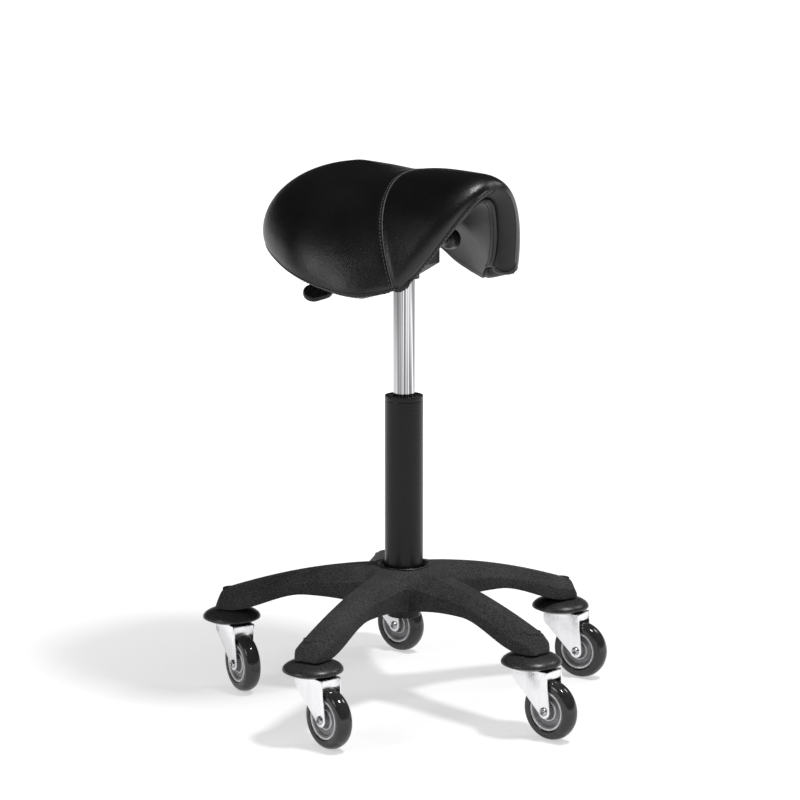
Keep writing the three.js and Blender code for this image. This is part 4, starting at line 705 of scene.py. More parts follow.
def leather(name, tone, roughness, pore_depth=0.00006, gloss=0.3):
    material, tree, main = shader(name)
    cloud = noise(tree, *LEATHER_CLOUDS)
    toned(tree, main, cloud, tone, LEATHER_TONE_SHARES)
    roughened(tree, main, cloud, *[roughness + change for change in LEATHER_ROUGHNESS_CHANGES])
    bumped(tree, main, (noise(tree, *LEATHER_CREASES), LEATHER_CREASE_DEPTH),
           (cells(tree, LEATHER_PORES), pore_depth), (noise(tree, *LEATHER_FINE_GRAIN), pore_depth / 2))
    main.inputs["Specular IOR Level"].default_value = gloss
    return material


def moulded(name, tone, roughness, texture_depth=0.00004, gloss=0.3):
    """Moulded plastic with a fine sparkling texture."""
    material, tree, main = shader(name)
    sparks = noise(tree, *PLASTIC_SPARKS)
    both = tree.nodes.new("ShaderNodeMix")
    both.inputs["Factor"].default_value = PLASTIC_CLOUD_SHARE
    tree.links.new(sparks, both.inputs["A"])
    tree.links.new(noise(tree, *PLASTIC_CLOUDS), both.inputs["B"])
    toned(tree, main, both.outputs["Result"], tone, PLASTIC_TONE_SHARES)
    roughened(tree, main, sparks, *[roughness + change for change in PLASTIC_ROUGHNESS_CHANGES])
    bumped(tree, main, (sparks, texture_depth))
    main.inputs["Specular IOR Level"].default_value = gloss
    return material


def metal(name, tone, roughness, scale, contrast, drawn=(1, 1, 1), depth=0.00001):
    """Bare or plated metal, with fine lines along the way it was drawn or turned."""
    material, tree, main = shader(name)
    lines = noise(tree, scale, METAL_LINE_DETAIL, drawn)
    tinted(tree, main, lines, grey(tone * (1 - contrast), METAL_BLUE_SHARE), grey(tone, METAL_BLUE_SHARE))
    roughened(tree, main, lines, *[roughness * part for part in METAL_ROUGHNESS_SHARES])
    bumped(tree, main, (lines, depth))
    main.inputs["Metallic"].default_value = 1
    return material


def chrome_with_painted_reflections(name):
    """Chromed tube: its wide streaks are painted reflections, dark and bright by turns, over narrow drawn
    lines that run along it.
    """
    material, tree, main = shader(name)
    # The wide streaks paint dark and bright reflections into the chrome's colour
    wide = noise(tree, *CHROME_PAINTED_REFLECTION_STREAKS)
    narrow = noise(tree, *CHROME_FINE_STREAKS)
    painted_reflection_tones = [(place, grey(tone, METAL_BLUE_SHARE)) for place, tone in CHROME_PAINTED_REFLECTION_TONES]
    lined = tree.nodes.new("ShaderNodeMix")
    lined.data_type = "RGBA"
    lined.blend_type = "MULTIPLY"
    lined.inputs["Factor"].default_value = CHROME_LINE_SHARE
    tree.links.new(ramp(tree, wide, painted_reflection_tones), lined.inputs[6])
    tree.links.new(ramp(tree, narrow, CHROME_LINE_COLOURS), lined.inputs[7])
    tree.links.new(lined.outputs[2], main.inputs["Base Color"])
    roughened(tree, main, narrow, *CHROME_ROUGHNESSES)
    bumped(tree, main, (narrow, CHROME_LINE_DEPTH))
    main.inputs["Metallic"].default_value = 1
    return material


def painted(name, tone, roughness, gloss):
    """Powder coat: a faint orange-peel skin over steel."""
    material, tree, main = shader(name)
    peel = noise(tree, *PAINT_PEEL)
    toned(tree, main, noise(tree, *PAINT_CLOUDS), tone, PAINT_TONE_SHARES)
    roughened(tree, main, peel, *[roughness + change for change in PAINT_ROUGHNESS_CHANGES])
    bumped(tree, main, (peel, PAINT_PEEL_DEPTH))
    main.inputs["Specular IOR Level"].default_value = gloss
    return material


def translucent(name, tone, roughness, transmission):
    """Smoky or clear wheel plastic."""
    material, tree, main = shader(name)
    cloud = noise(tree, *WHEEL_CLOUDS)
    toned(tree, main, cloud, tone, WHEEL_TONE_SHARES)
    roughened(tree, main, cloud, *[roughness * part for part in WHEEL_ROUGHNESS_SHARES])
    bumped(tree, main, (cloud, WHEEL_CLOUD_DEPTH))
    main.inputs["Transmission Weight"].default_value = transmission
    main.inputs["IOR"].default_value = WHEEL_REFRACTION
    return material


def padding_foam(name):
    material, tree, main = shader(name)
    bubbles = cells(tree, FOAM_CELLS)
    tinted(tree, main, bubbles, *FOAM_COLOURS)
    bumped(tree, main, (bubbles, FOAM_CELL_DEPTH))
    main.inputs["Roughness"].default_value = FOAM_ROUGHNESS
    return material


BLACK_LEATHER = leather("black_leather", 0.002, 0.36, pore_depth=0.00016, gloss=0.5)
BORDER_LEATHER = leather("border_leather", 0.02, 0.5)
LINER_VINYL = leather("liner_vinyl", 0.03, 0.45, pore_depth=0.00004)
# Lighter leather for the waist welt: a painted highlight along the seam's ridge
RIDGE_PAINTED_HIGHLIGHT = leather("ridge_painted_highlight_leather", 0.07, 0.5, gloss=0.4)
PALE_THREAD = moulded("pale_thread", 0.08, 0.6)
DARK_THREAD = moulded("dark_thread", 0.008, 0.5)
FOAM = padding_foam("seat_padding")
NYLON = moulded("black_nylon", 0.046, 0.55, texture_depth=0.00014, gloss=0.05)
SHELL = moulded("shell_plastic", 0.012, 0.5)
GREY_CAST = moulded("grey_plastic", 0.05, 0.45)
GUIDE = moulded("guide_plastic", 0.08, 0.4)
HOOD = moulded("hood_plastic", 0.03, 0.34, texture_depth=0.00001, gloss=0.45)
RUBBER = moulded("soft_rubber", 0.02, 0.8)
PAINT = painted("black_paint", 0.005, 0.3, gloss=0.25)
CHROME = chrome_with_painted_reflections("bright_steel")
ZINC = metal("zinc_steel", 0.95, 0.24, scale=120, contrast=0.14, drawn=(1, 1, 0.1), depth=0.00002)
BOLT_STEEL = metal("bolt_steel", 0.62, 0.3, scale=500, contrast=0.4)
RING_STEEL = metal("ring_steel", 0.13, 0.35, scale=500, contrast=0.4)
TREAD = translucent("smoky_tread", 0.035, 0.1, transmission=0.12)
CORE = translucent("clear_core", 0.3, 0.16, transmission=0.3)
# Near-white lines on the wheel cores: a painted highlight
RING_PAINTED_HIGHLIGHT = translucent("clear_ring_painted_highlight", 0.95, 0.15, transmission=0.05)

FINISHES = {
    "bright_steel": CHROME, "black_paint": PAINT, "grey_plastic": GREY_CAST, "zinc_steel": ZINC,
    "hood_plastic": HOOD, "smoky_tread": TREAD, "clear_core": CORE, "soft_rubber": RUBBER,
    "shell_plastic": SHELL, "liner_vinyl": LINER_VINYL, "seat_padding": FOAM,
    "black_leather": BLACK_LEATHER, "border_leather": BORDER_LEATHER, "black_nylon": NYLON,
}


def finish_cad_nodes():
    """Gives every CAD node the finish that the record names for it."""
    for part in frame["record"]["subparts"]:
        node = frame["nodes"][part["node"]]
        if not node.material_slots:
            node.data.materials.append(FINISHES[part["material_slot"]])
        for place in node.material_slots:
            place.material = FINISHES[part["material_slot"]]


# Saddle surface

LAST_LINE = len(SADDLE_LINE_SHARES) - 1


def along_lines(values, u, mirror_sum=None):
    """A value along the saddle's lines, smooth from line to line and mirrored at the back."""
    before = values[1] if mirror_sum is None else mirror_sum - values[1]
    padded = np.array([before, *values, 2 * values[-1] - values[-2]], float)
    place = np.clip(np.asarray(u, float), 0, 1) * LAST_LINE
    k = np.minimum(place.astype(int), LAST_LINE - 1)
    t = place - k
    a, b, c, d = padded[k], padded[k + 1], padded[k + 2], padded[k + 3]
    return 0.5 * (2 * b + (c - a) * t + (2 * a - 5 * b + 4 * c - d) * t ** 2
                  + (3 * b - a - 3 * c + d) * t ** 3)


def share(index, u, mirror_sum=None):
    return along_lines([row[index] for row in SADDLE_LINE_SHARES], u, mirror_sum)


def degrees(index, u, mirror_sum=None):
    return np.radians(along_lines([row[index] for row in SADDLE_LINE_DEGREES], u, mirror_sum))


def stack(x, y, z):
    return np.stack(np.broadcast_arrays(x, y, z), -1)


def places(u, v):
    return np.broadcast_arrays(np.asarray(u, float), np.asarray(v, float))


def saddle(u, v):
    """Points of the left half: u from the back's middle to the arch, v from crest to edge."""
    u, v = places(u, v)
    crest_turn = degrees(0, u, FULL_TURN)
    edge_turn = degrees(1, u, FULL_TURN)
    rise = degrees(2, u)
    crest = stack(share(0, u) * SEAT_LENGTH, 0 * u, SEAT_CREST_HEIGHT - share(2, u) * SEAT_DROP)
    edge = stack(share(1, u) * SEAT_LENGTH, share(4, u, 0) * SEAT_HALF_WIDTH,
                 SEAT_CREST_HEIGHT - share(3, u) * SEAT_DROP)
    crest_pull = (share(5, u) * SEAT_HALF_WIDTH)[..., None] * stack(
        np.cos(crest_turn), np.sin(crest_turn), 0)
    edge_pull = (share(6, u) * SEAT_DROP)[..., None] * stack(
        -np.cos(rise) * np.cos(edge_turn), -np.cos(rise) * np.sin(edge_turn), np.sin(rise))
    t = v[..., None]
    return ((1 - t) ** 3 * crest + 3 * (1 - t) ** 2 * t * (crest + crest_pull)
            + 3 * (1 - t) * t ** 2 * (edge + edge_pull) + t ** 3 * edge)


def unit(vectors):
    return vectors / np.maximum(np.linalg.norm(vectors, axis=-1, keepdims=True), LEAST_LENGTH)


def directions(u, v):
    """Along u, down v and straight out of the surface."""
    u, v = places(u, v)
    step = SLOPE_STEP_SHARE
    inside_u = np.clip(u, step, 1 - step)
    inside_v = np.clip(v, NEAR_CREST_SHARE, 1 - step)
    along = unit(saddle(inside_u + step, inside_v) - saddle(inside_u - step, inside_v))
    down = unit(saddle(inside_u, inside_v + step) - saddle(inside_u, inside_v - step))
    out = np.cross(along, down)
    out[..., 1] = np.where((u == 0) | (v == 0), 0, out[..., 1])
    return along, down, unit(out)


def smooth(value):
    t = np.clip(value, 0, 1)
    return t * t * (3 - 2 * t)


def near_end(value, reach):
    """Grows smoothly from 0 to 1 over the last stretch before 1."""
    return smooth((value - 1 + reach) / reach)


def front_roll(u, v):
    t = np.clip((u - FRONT_ROLL_START_SHARE) / (1 - FRONT_ROLL_START_SHARE), 0, 1)
    return FRONT_ROLL_RADIUS * (1 - np.sqrt(1 - t ** 2)) * (1 - v ** FRONT_ROLL_FADE_POWER)


def pad_thickness(u, v):
    crest = 1 - smooth(v / CREST_THIN_SHARE)
    return PAD_THICKNESS - (PAD_THICKNESS - PAD_CREST_THICKNESS) * near_end(u, FRONT_THIN_SHARE) * crest


def waist_seam(v):
    return SEAM_CREST_SHARE + (SEAM_FOOT_SHARE - SEAM_CREST_SHARE) * v ** SEAM_CURVE_POWER


def outer_surface(u, v, depth=0.0):
    u, v = places(u, v)
    out = directions(u, v)[2]
    return saddle(u, v) - out * (depth + front_roll(u, v))[..., None]


def inner_surface(u, v, depth=0.0):
    u, v = places(u, v)
    inner_u = u * INNER_FRONT_SHARE
    out = directions(inner_u, v)[2]
    return saddle(inner_u, v) - out * (depth + pad_thickness(u, v))[..., None]


def edge_direction(u, v):
    """The way out past the rim: down at the flaps, forwards at the arch."""
    u, v = places(u, v)
    along, down, _ = directions(u, v)
    at_flap = CORNER_TURN_SHARE * near_end(u, CORNER_SHARE)
    at_arch = 1 - (1 - CORNER_TURN_SHARE) * near_end(v, CORNER_SHARE)
    turning = np.where(v == 1, at_flap, at_arch)[..., None]
    direction = down * (1 - turning) + along * turning
    direction[..., 1] = np.where((u == 0) | (v == 0), 0, direction[..., 1])
    return unit(direction)


def rim_place(q):
    """u and v round the rim: q from 0 at the back's middle to 1 at the foot and 2 at the arch."""
    q = np.asarray(q, float)
    return np.minimum(q, 1), np.where(q <= 1, 1, 2 - q)


def edge_bulge(u, v):
    corner = near_end(u, CORNER_SHARE) * near_end(v, 2 * CORNER_SHARE)
    return EDGE_BULGE + (FOOT_BULGE - EDGE_BULGE) * corner


def band_surface(q, s):
    """The border between the pad's outer and inner edges, s from 0 to 1 across it."""
    q, s = places(q, s)
    u, v = rim_place(q)
    across = ((1 - np.cos(math.pi * s)) / 2)[..., None]
    swell = edge_bulge(u, v) * np.abs(np.sin(math.pi * s)) ** BULGE_POWER
    return (dressed_surface(u, v) * (1 - across) + inner_surface(u, v) * across
            + edge_direction(u, v) * swell[..., None])


def band_tuck(q):
    """The border's inner edge turned in under the liner, so that no padding shows."""
    u, v = rim_place(np.asarray(q, float))
    way = edge_direction(u, v)
    rows = [inner_surface(u, v)]
    for reach, depth in TUCK_SHARES:
        rows.append(inner_surface(u, v, TUCK_DEPTH * depth) - way * TUCK_REACH * reach)
    return np.stack(rows, 1)


def dressed_surface(u, v):
    """The outer surface with the leather drawn in a little along each seam."""
    u, v = places(u, v)
    here = outer_surface(u, v)
    to_seam = np.linalg.norm(here - outer_surface(waist_seam(v), v), axis=-1)
    to_edge = np.linalg.norm(here - outer_surface(u, np.ones_like(v)), axis=-1)
    dip = (SEAM_DIP * np.exp(-(to_seam / SEAM_DIP_WIDTH) ** 2)
           + RIM_DIP * np.exp(-(to_edge / RIM_DIP_WIDTH) ** 2))
    out = directions(u, v)[2]
    return here - out * (dip - COVER_LIFT)[..., None]


def half_grid(points):
    """The points and faces of a grid of the left half and of its mirror image."""
    rows, columns = points.shape[:2]
    flat = points.reshape(-1, 3)
    faces = grid_faces(rows, columns) + grid_faces(rows, columns, rows * columns, True)
    return np.concatenate([flat, flat * np.array([1, -1, 1])]), faces


def several_grids(name, grids):
    """One mesh from several left-half grids and their mirror images."""
    points, faces = [], []
    for grid in grids:
        new_points, new_faces = half_grid(grid)
        faces += [tuple(index + len(points) for index in face) for face in new_faces]
        points += list(new_points)
    return moved(mesh_from(name, points, faces, weld=SEAM_WELD), AT_AXIS)


def rim_samples(count):
    return np.concatenate([np.linspace(0, 1, count), np.linspace(1, 2, count // 2)[1:]])


def back_middle(v):
    return 0 * v


def arch(v):
    return 0 * v + 1


def mesh_places(first=back_middle, last=arch):
    """Grid places of a panel, in shares from one seam to the other."""
    v = np.linspace(0, 1, SADDLE_ROWS + 1)
    v = v + ROW_CROWDING_SHARE * np.sin(2 * math.pi * v)
    across = np.linspace(0, 1, SADDLE_COLUMNS + 1)[:, None]
    return first(v) + (last(v) - first(v)) * across, np.broadcast_to(v, (SADDLE_COLUMNS + 1, v.size))


def rim_of(grid):
    """A whole grid's values along the flap's edge and back up along the arch."""
    return np.concatenate([grid[:, -1], grid[-1, ::-1][1:]])


def drawn_back(surface, u, v, recess):
    """A surface with its rim drawn back by a recess."""
    on_rim = ((u == 1) | (v == 1))[..., None]
    return np.where(on_rim, surface - edge_direction(u, v) * recess, surface)


def layer(name, upper, lower):
    """One closed body between two whole grids."""
    return several_grids(name, [upper, lower, np.stack([rim_of(upper), rim_of(lower)], 1)])


def cover(name, node, first, last):
    mesh = several_grids(name, [dressed_surface(*mesh_places(first, last))])
    return piece(name, mesh, "seat", BLACK_LEATHER, "black_leather", [node], 0)


def border():
    q = rim_samples(BORDER_SAMPLES)
    s = np.linspace(0, 1, BORDER_ROWS)
    mesh = several_grids("border_leather_band", [band_surface(q[:, None], s[None, :]), band_tuck(q)])
    return piece("border_leather_band", mesh, "seat", BORDER_LEATHER, "border_leather", ["border_band"], 0)


def foam_pad():
    """The moulded foam under the covers."""
    u, v = mesh_places()
    outer = drawn_back(outer_surface(u, v, FOAM_INSET), u, v, FOAM_INSET)
    inner = drawn_back(inner_surface(u, v), u, v, FOAM_INSET)
    pad = piece("foam_pad", layer("foam_pad", outer, inner), "seat", FOAM, "seat_padding", ["seat_foam"])
    return pad


def whole_path(path, normals):
    """A left-half path that starts on the middle plane, carried on round the right half."""
    mirror = np.array([1, -1, 1])
    return (np.concatenate([(path * mirror)[::-1], path[1:]]) + np.array(AXIS),
            np.concatenate([(normals * mirror)[::-1], normals[1:]]))


def seam_path(offset):
    v = np.linspace(0, 1, SEAM_SAMPLES)
    u = waist_seam(v)
    along, _, out = directions(u, v)
    lift = COVER_LIFT - SEAM_DIP * WELT_SINK_SHARE
    return whole_path(outer_surface(u, v) + along * offset + out * lift, out)


def rim_path(offset):
    """A line beside the rim seam: offset towards the cover."""
    u, v = rim_place(rim_samples(RIM_SAMPLES))
    return whole_path(dressed_surface(u, v) - edge_direction(u, v) * offset, directions(u, v)[2])


def band_path(s):
    q = rim_samples(RIM_SAMPLES)
    return whole_path(band_surface(q, s), edge_direction(*rim_place(q)))


def liner_path():
    u, v = rim_place(rim_samples(RIM_SAMPLES))
    out = directions(u * INNER_FRONT_SHARE, v)[2]
    path = inner_surface(u, v, LINER_DEPTH) - edge_direction(u, v) * LINER_STITCH_OFFSET
    return whole_path(path, -out)


def welt(name, path, radius, material, slot):
    return piece(name, swept(name, path, radius, WELT_SIDES), "seat", material, slot, smooth_angle=0)


def seams():
    # The waist welt wears the lighter leather that paints a highlight along its ridge
    welt("waist_welt", seam_path(0)[0], WAIST_WELT_RADIUS, RIDGE_PAINTED_HIGHLIGHT, "border_leather")
    stitches("waist_stitches", *seam_path(-STITCH_OFFSET), PALE_THREAD, "black_leather")
    welt("rim_welt", rim_path(0)[0], WELT_RADIUS, BLACK_LEATHER, "black_leather")
    stitches("rim_stitches", *rim_path(STITCH_OFFSET), DARK_THREAD, "black_leather")
    stitches("border_stitches", *band_path(BORDER_STITCH_SHARE), DARK_THREAD, "border_leather")
    foot_seam()


def foot_seam():
    """The U-shaped seam that closes the border at the foot of each front flap."""
    s = np.linspace(FOOT_SEAM_END_SHARE, 1 - FOOT_SEAM_END_SHARE, FOOT_SEAM_SAMPLES)
    q = FOOT_SEAM_SHARE - FOOT_SEAM_DEPTH_SHARE * np.sin(math.pi * s)
    path = band_surface(q, s) + edge_direction(*rim_place(q)) * WELT_RADIUS * WELT_LIFT_SHARE
    for side, name in ((1, "foot_seam_left"), (-1, "foot_seam_right")):
        welt(name, path * np.array([1, side, 1]) + np.array(AXIS), WELT_RADIUS, BLACK_LEATHER,
             "black_leather")


def liner():
    """Vinyl over the shell's underside, rolled round its edge."""
    u, v = mesh_places()
    main = drawn_back(inner_surface(u, v, LINER_DEPTH), u, v, LINER_EDGE_RADIUS)
    turn = np.linspace(0, math.pi, LINER_ROLL_STEPS)[None, :]
    rim_u, rim_v, turn = np.broadcast_arrays(rim_of(u)[:, None], rim_of(v)[:, None], turn)
    middle = inner_surface(rim_u, rim_v, LINER_TUCK + LINER_EDGE_RADIUS)
    way = edge_direction(rim_u, rim_v)
    out = directions(rim_u * INNER_FRONT_SHARE, rim_v)[2]
    roll = (middle - way * LINER_EDGE_RADIUS * (1 - np.sin(turn))[..., None]
            - out * (LINER_EDGE_RADIUS * np.cos(turn))[..., None])
    mesh = several_grids("liner_vinyl_skin", [main, roll])
    cut_opening(mesh)
    piece("liner_vinyl_skin", mesh, "seat", LINER_VINYL, "liner_vinyl", ["underside_liner"], 0)
    stitches("liner_stitches", *liner_path(), DARK_THREAD, "liner_vinyl")


def cut_opening(mesh):
    """Cuts the liner away round the seat plate."""
    half = Vector((LINER_OPENING_HALF_LENGTH, LINER_OPENING_HALF_WIDTH, 0))
    low, high = AXIS - half, AXIS + half
    shape = bmesh.new()
    shape.from_mesh(mesh)
    floor_height = low_z("tilt_pin")
    for place, normal in (((low.x, 0, 0), (1, 0, 0)), ((high.x, 0, 0), (1, 0, 0)),
                          ((0, low.y, 0), (0, 1, 0)), ((0, high.y, 0), (0, 1, 0))):
        bmesh.ops.bisect_plane(shape, geom=shape.verts[:] + shape.edges[:] + shape.faces[:],
                               plane_co=place, plane_no=normal, dist=POINT_WELD)
    gone = []
    for face in shape.faces:
        middle = face.calc_center_median()
        if low.x < middle.x < high.x and low.y < middle.y < high.y and middle.z > floor_height:
            gone.append(face)
    bmesh.ops.delete(shape, geom=gone, context="FACES")
    shape.to_mesh(mesh)
    shape.free()


def boss_mesh(number):
    """The socket in the shell that one of the plate's screws bites into."""
    foot = centre(f"plate_screw_{number}")
    top = high_z(f"plate_screw_{number}")
    roof = top + BOSS_ROOF
    outline = [(BOSS_BORE_RADIUS, top - BOSS_DEPTH), (BOSS_RADIUS, top - BOSS_DEPTH), (BOSS_RADIUS, roof),
               (0, roof)]
    return moved(lathe("boss", outline, SOCKET_SIDES), Matrix.Translation((foot.x, foot.y, 0)))


def shell():
    """The stiff shell between the foam and the liner, with its four bosses."""
    u, v = mesh_places()
    upper = drawn_back(inner_surface(u, v, SHELL_TOP_DEPTH), u, v, SHELL_RECESS)
    lower = drawn_back(inner_surface(u, v, SHELL_BOTTOM_DEPTH), u, v, SHELL_RECESS)
    meshes = [layer("seat_shell_skin", upper, lower)] + [boss_mesh(number) for number in range(1, 5)]
    piece("seat_shell_skin", joined("seat_shell_skin", meshes), "seat", SHELL, "shell_plastic",
          ["seat_shell"])


# Base

def hub_top():
    return high_z("star_base")


def pin_circle():
    return (centre("caster_stem_1") - AXIS).xy.length


def share_along_arm(radius):
    return (radius - ARM_ROOT_RADIUS) / (ARM_FACET_END_RADIUS - ARM_ROOT_RADIUS)


def arm_top(radius):
    return hub_top() - ARM_TOP_DROP * max(0, share_along_arm(radius)) ** ARM_TOP_POWER


def arm_bottom(radius):
    """The arch under the arm rises from the hub's foot and falls to the arm's end."""
    if radius < ARM_ARCH_RADIUS:
        share_in = min(1, (ARM_ARCH_RADIUS - radius) / (ARM_ARCH_RADIUS - HUB_RADIUS))
        return ARM_ARCH_TOP - (ARM_ARCH_TOP - HUB_BOTTOM) * share_in ** 2
    share_out = (radius - ARM_ARCH_RADIUS) / (pin_circle() - ARM_ARCH_RADIUS)
    return ARM_ARCH_TOP - (ARM_ARCH_TOP - ARM_END_BOTTOM) * float(smooth(share_out))


def smooth_table(where, values):
    """A table resampled with soft corners."""
    fine = np.linspace(0, 1, WIDTH_TABLE_STEPS)
    rough = np.interp(fine, where, values)
    kernel = np.hanning(WIDTH_BLUR_STEPS)
    wide = np.pad(rough, WIDTH_BLUR_STEPS // 2, mode="edge")
    return fine, np.convolve(wide, kernel / kernel.sum(), mode="valid")


ARM_WIDTHS = smooth_table(ARM_STATION_SHARES, ARM_WIDTH_SHARES)


def arm_width_share(radius):
    return float(np.interp(share_along_arm(radius), *ARM_WIDTHS))


def knee_rise_share(radius):
    """The knee runs high at the hub and settles along the arm."""
    out = float(smooth((radius - HUB_RADIUS) / HUB_RADIUS))
    return HUB_KNEE_RISE_SHARE + (ARM_KNEE_RISE_SHARE - HUB_KNEE_RISE_SHARE) * out


def arm_section(radius, inset):
    """Half widths and heights of the arm's section, from its top's middle to its lower edge."""
    nose = max(0.0, (radius - ARM_FACET_END_RADIUS) / (ARM_TIP_RADIUS - ARM_FACET_END_RADIUS))
    on_arm = min(radius, ARM_FACET_END_RADIUS)
    top = arm_top(on_arm) - ARM_TIP_DROP * nose ** NOSE_DROP_POWER - inset
    bottom = arm_bottom(min(radius, pin_circle()))
    at_end = arm_width_share(on_arm)
    wide = ARM_HALF_WIDTH * (at_end + (NOSE_WIDTH_SHARE - at_end) * nose ** NOSE_WIDTH_POWER) - inset
    facet = ARM_FACET_HALF_WIDTH * max(1, at_end)
    facet = min(facet * (1 - NOSE_FACET_SHARE * nose) - inset / 2, wide * FACET_MOST_SHARE)
    knee = bottom + (top - bottom) * knee_rise_share(on_arm)
    knee_wide = wide * ARM_KNEE_WIDTH_SHARE
    edge = ARM_EDGE
    slope = Vector((knee_wide - facet, knee - top)).normalized() * edge
    wall = Vector((wide - knee_wide, bottom - knee)).normalized() * edge
    slope_part, edge_part, drop_part = FACET_BREAK_SHARES
    return [
        (0, top + edge * CROWN_LIFT_SHARES[0]),
        (facet * CROWN_MIDDLE_SHARE, top + edge * CROWN_LIFT_SHARES[1]),
        (facet - edge, top),
        (facet - slope.x * slope_part - edge * edge_part, top - edge * drop_part),
        (facet + slope.x, top + slope.y),
        (knee_wide - slope.x, knee - slope.y),
        (knee_wide - edge * KNEE_BREAK_SHARE, knee),
        (knee_wide + wall.x, knee + wall.y),
        (wide, bottom + edge),
        (wide - edge * FOOT_BREAK_SHARE, bottom),
    ]


def arm_rows(radii, inset):
    rows = []
    for radius in radii:
        half = arm_section(radius, inset)
        rows.append([(radius, -w, z) for w, z in reversed(half)] + [(radius, w, z) for w, z in half[1:]])
    return rows


def arm_mesh():
    outer_radii = list(np.linspace(ARM_ROOT_RADIUS, ARM_FACET_END_RADIUS, ARM_STATIONS))
    nose = [math.sin(k / NOSE_STATIONS * math.pi / 2) for k in range(1, NOSE_STATIONS + 1)]
    outer_radii += [ARM_FACET_END_RADIUS + (ARM_TIP_RADIUS - ARM_FACET_END_RADIUS) * t for t in nose]
    inner_radii = list(np.linspace(ARM_CAVITY_START_RADIUS, ARM_TIP_RADIUS - ARM_WALL * 2, ARM_STATIONS))
    outer = arm_rows(outer_radii, 0)
    inner = arm_rows(inner_radii, ARM_WALL)
    points, faces = [], []
    columns = len(outer[0])
    for rows, flip in ((outer, False), (inner, True)):
        start = len(points)
        points += [p for row in rows for p in row]
        faces += grid_faces(len(rows), columns, start, flip)
        end = start + (len(rows) - 1) * columns
        faces.append(tuple(range(end, end + columns)))
    inner_start = len(outer) * columns
    faces.append(tuple(range(inner_start, inner_start + columns)))
    lower_rim(points, faces, outer_radii, inner_radii, columns)
    return mesh_from("arm", points, faces)


def lower_rim(points, faces, outer_radii, inner_radii, columns):
    """The flat lower edge between the arm's outside and its hollow."""
    inner_start = len(outer_radii) * columns
    for side in (0, columns - 1):
        strip = [inner_start + k * columns + side for k in range(len(inner_radii))]
        outer_ids = [k * columns + side for k, radius in enumerate(outer_radii)
                     if radius >= inner_radii[0] - ARM_WALL]
        points_in = [points[i] for i in strip]
        for a, b in zip(outer_ids, outer_ids[1:]):
            near_a = min(range(len(strip)), key=lambda j: abs(points_in[j][0] - points[a][0]))
            near_b = min(range(len(strip)), key=lambda j: abs(points_in[j][0] - points[b][0]))
            corner = [a, b] + strip[near_a:near_b + 1][::-1]
            if len(set(corner)) > 2:
                faces.append(tuple(corner))


def long_rib():
    half = RIB_THICKNESS / 2
    radii = np.linspace(ARM_CAVITY_START_RADIUS - ARM_WALL, pin_circle(), RIB_STATIONS)
    foot = [(r, arm_bottom(r) + RIB_FOOT_GAP) for r in radii]
    return plate("rib", foot + [(r, arm_top(r) - ARM_WALL / 2) for r in radii[::-1]], -half, half)


def cross_rib(number):
    half = RIB_THICKNESS / 2
    reach = pin_circle() - SOCKET_RADIUS - ARM_CAVITY_START_RADIUS
    radius = ARM_CAVITY_START_RADIUS + reach * number / (CROSS_RIBS + 1)
    section = arm_section(radius, ARM_WALL / 2)
    outline = section + [(-w, z) for w, z in reversed(section[1:])]
    rib = plate("rib", outline, radius - half, radius + half)
    return moved(rib, Matrix.Rotation(-math.pi / 2, 4, "Z") @ Matrix.Scale(-1, 4, (1, 0, 0)))


def pin_socket():
    bore = (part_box("caster_stem_1")[1][0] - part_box("caster_stem_1")[0][0]) * SOCKET_BORE_SHARE
    top = arm_top(pin_circle()) - ARM_WALL / 2
    bottom = arm_bottom(pin_circle()) + SOCKET_FOOT_GAP
    outline = [(bore, bottom), (SOCKET_RADIUS, bottom), (SOCKET_RADIUS, top)]
    socket = lathe("socket", outline, SOCKET_SIDES)
    return moved(socket, Matrix.Translation((pin_circle(), 0, 0)))


def merged_reach(half_width, turn, floor_radius):
    """How far out an arm's edge lies at a turn from its middle, filled in between two arms."""
    sine = max(math.sin(abs(turn)), LEAST_SINE)
    strip = floor_radius
    for _ in range(REACH_ROUNDS):
        strip = (strip + min(half_width * arm_width_share(strip) / sine, HUB_REACH)) / 2
    return (strip ** FILLET_POWER + floor_radius ** FILLET_POWER) ** (1 / FILLET_POWER)


def hub_row(turn):
    """One upright slice of the hub, from its bore over the crown and down to its foot."""
    under_arm = float(smooth((UNDER_ARM_TURN - abs(turn)) / UNDER_ARM_FADE))
    sunk = HUB_SUNK + HUB_SUNK_UNDER_ARM * under_arm
    crown = merged_reach(ARM_FACET_HALF_WIDTH, turn, FILLET_TOP_RADIUS)
    knee = merged_reach(ARM_HALF_WIDTH * ARM_KNEE_WIDTH_SHARE, turn, FILLET_KNEE_RADIUS)
    foot = merged_reach(ARM_HALF_WIDTH, turn, FILLET_KNEE_RADIUS)
    knee = max(knee, crown + CROWN_EDGE_WIDTH)
    foot = max(foot, crown + FOOT_EDGE_WIDTH)
    bottom = arm_bottom(foot) + sunk / 2
    knee_height = bottom + (arm_top(knee) - bottom) * knee_rise_share(knee)
    crown_height = arm_top(crown) - sunk
    outline = [(HUB_BORE_RADIUS, hub_top() - HUB_BORE_DROP - sunk),
               (crown - CROWN_EDGE_WIDTH, crown_height), (crown, crown_height),
               (knee, knee_height - sunk), (foot, bottom), (foot - FOOT_RETURN, bottom)]
    return rounded(outline, HUB_EDGE_RADIUS)


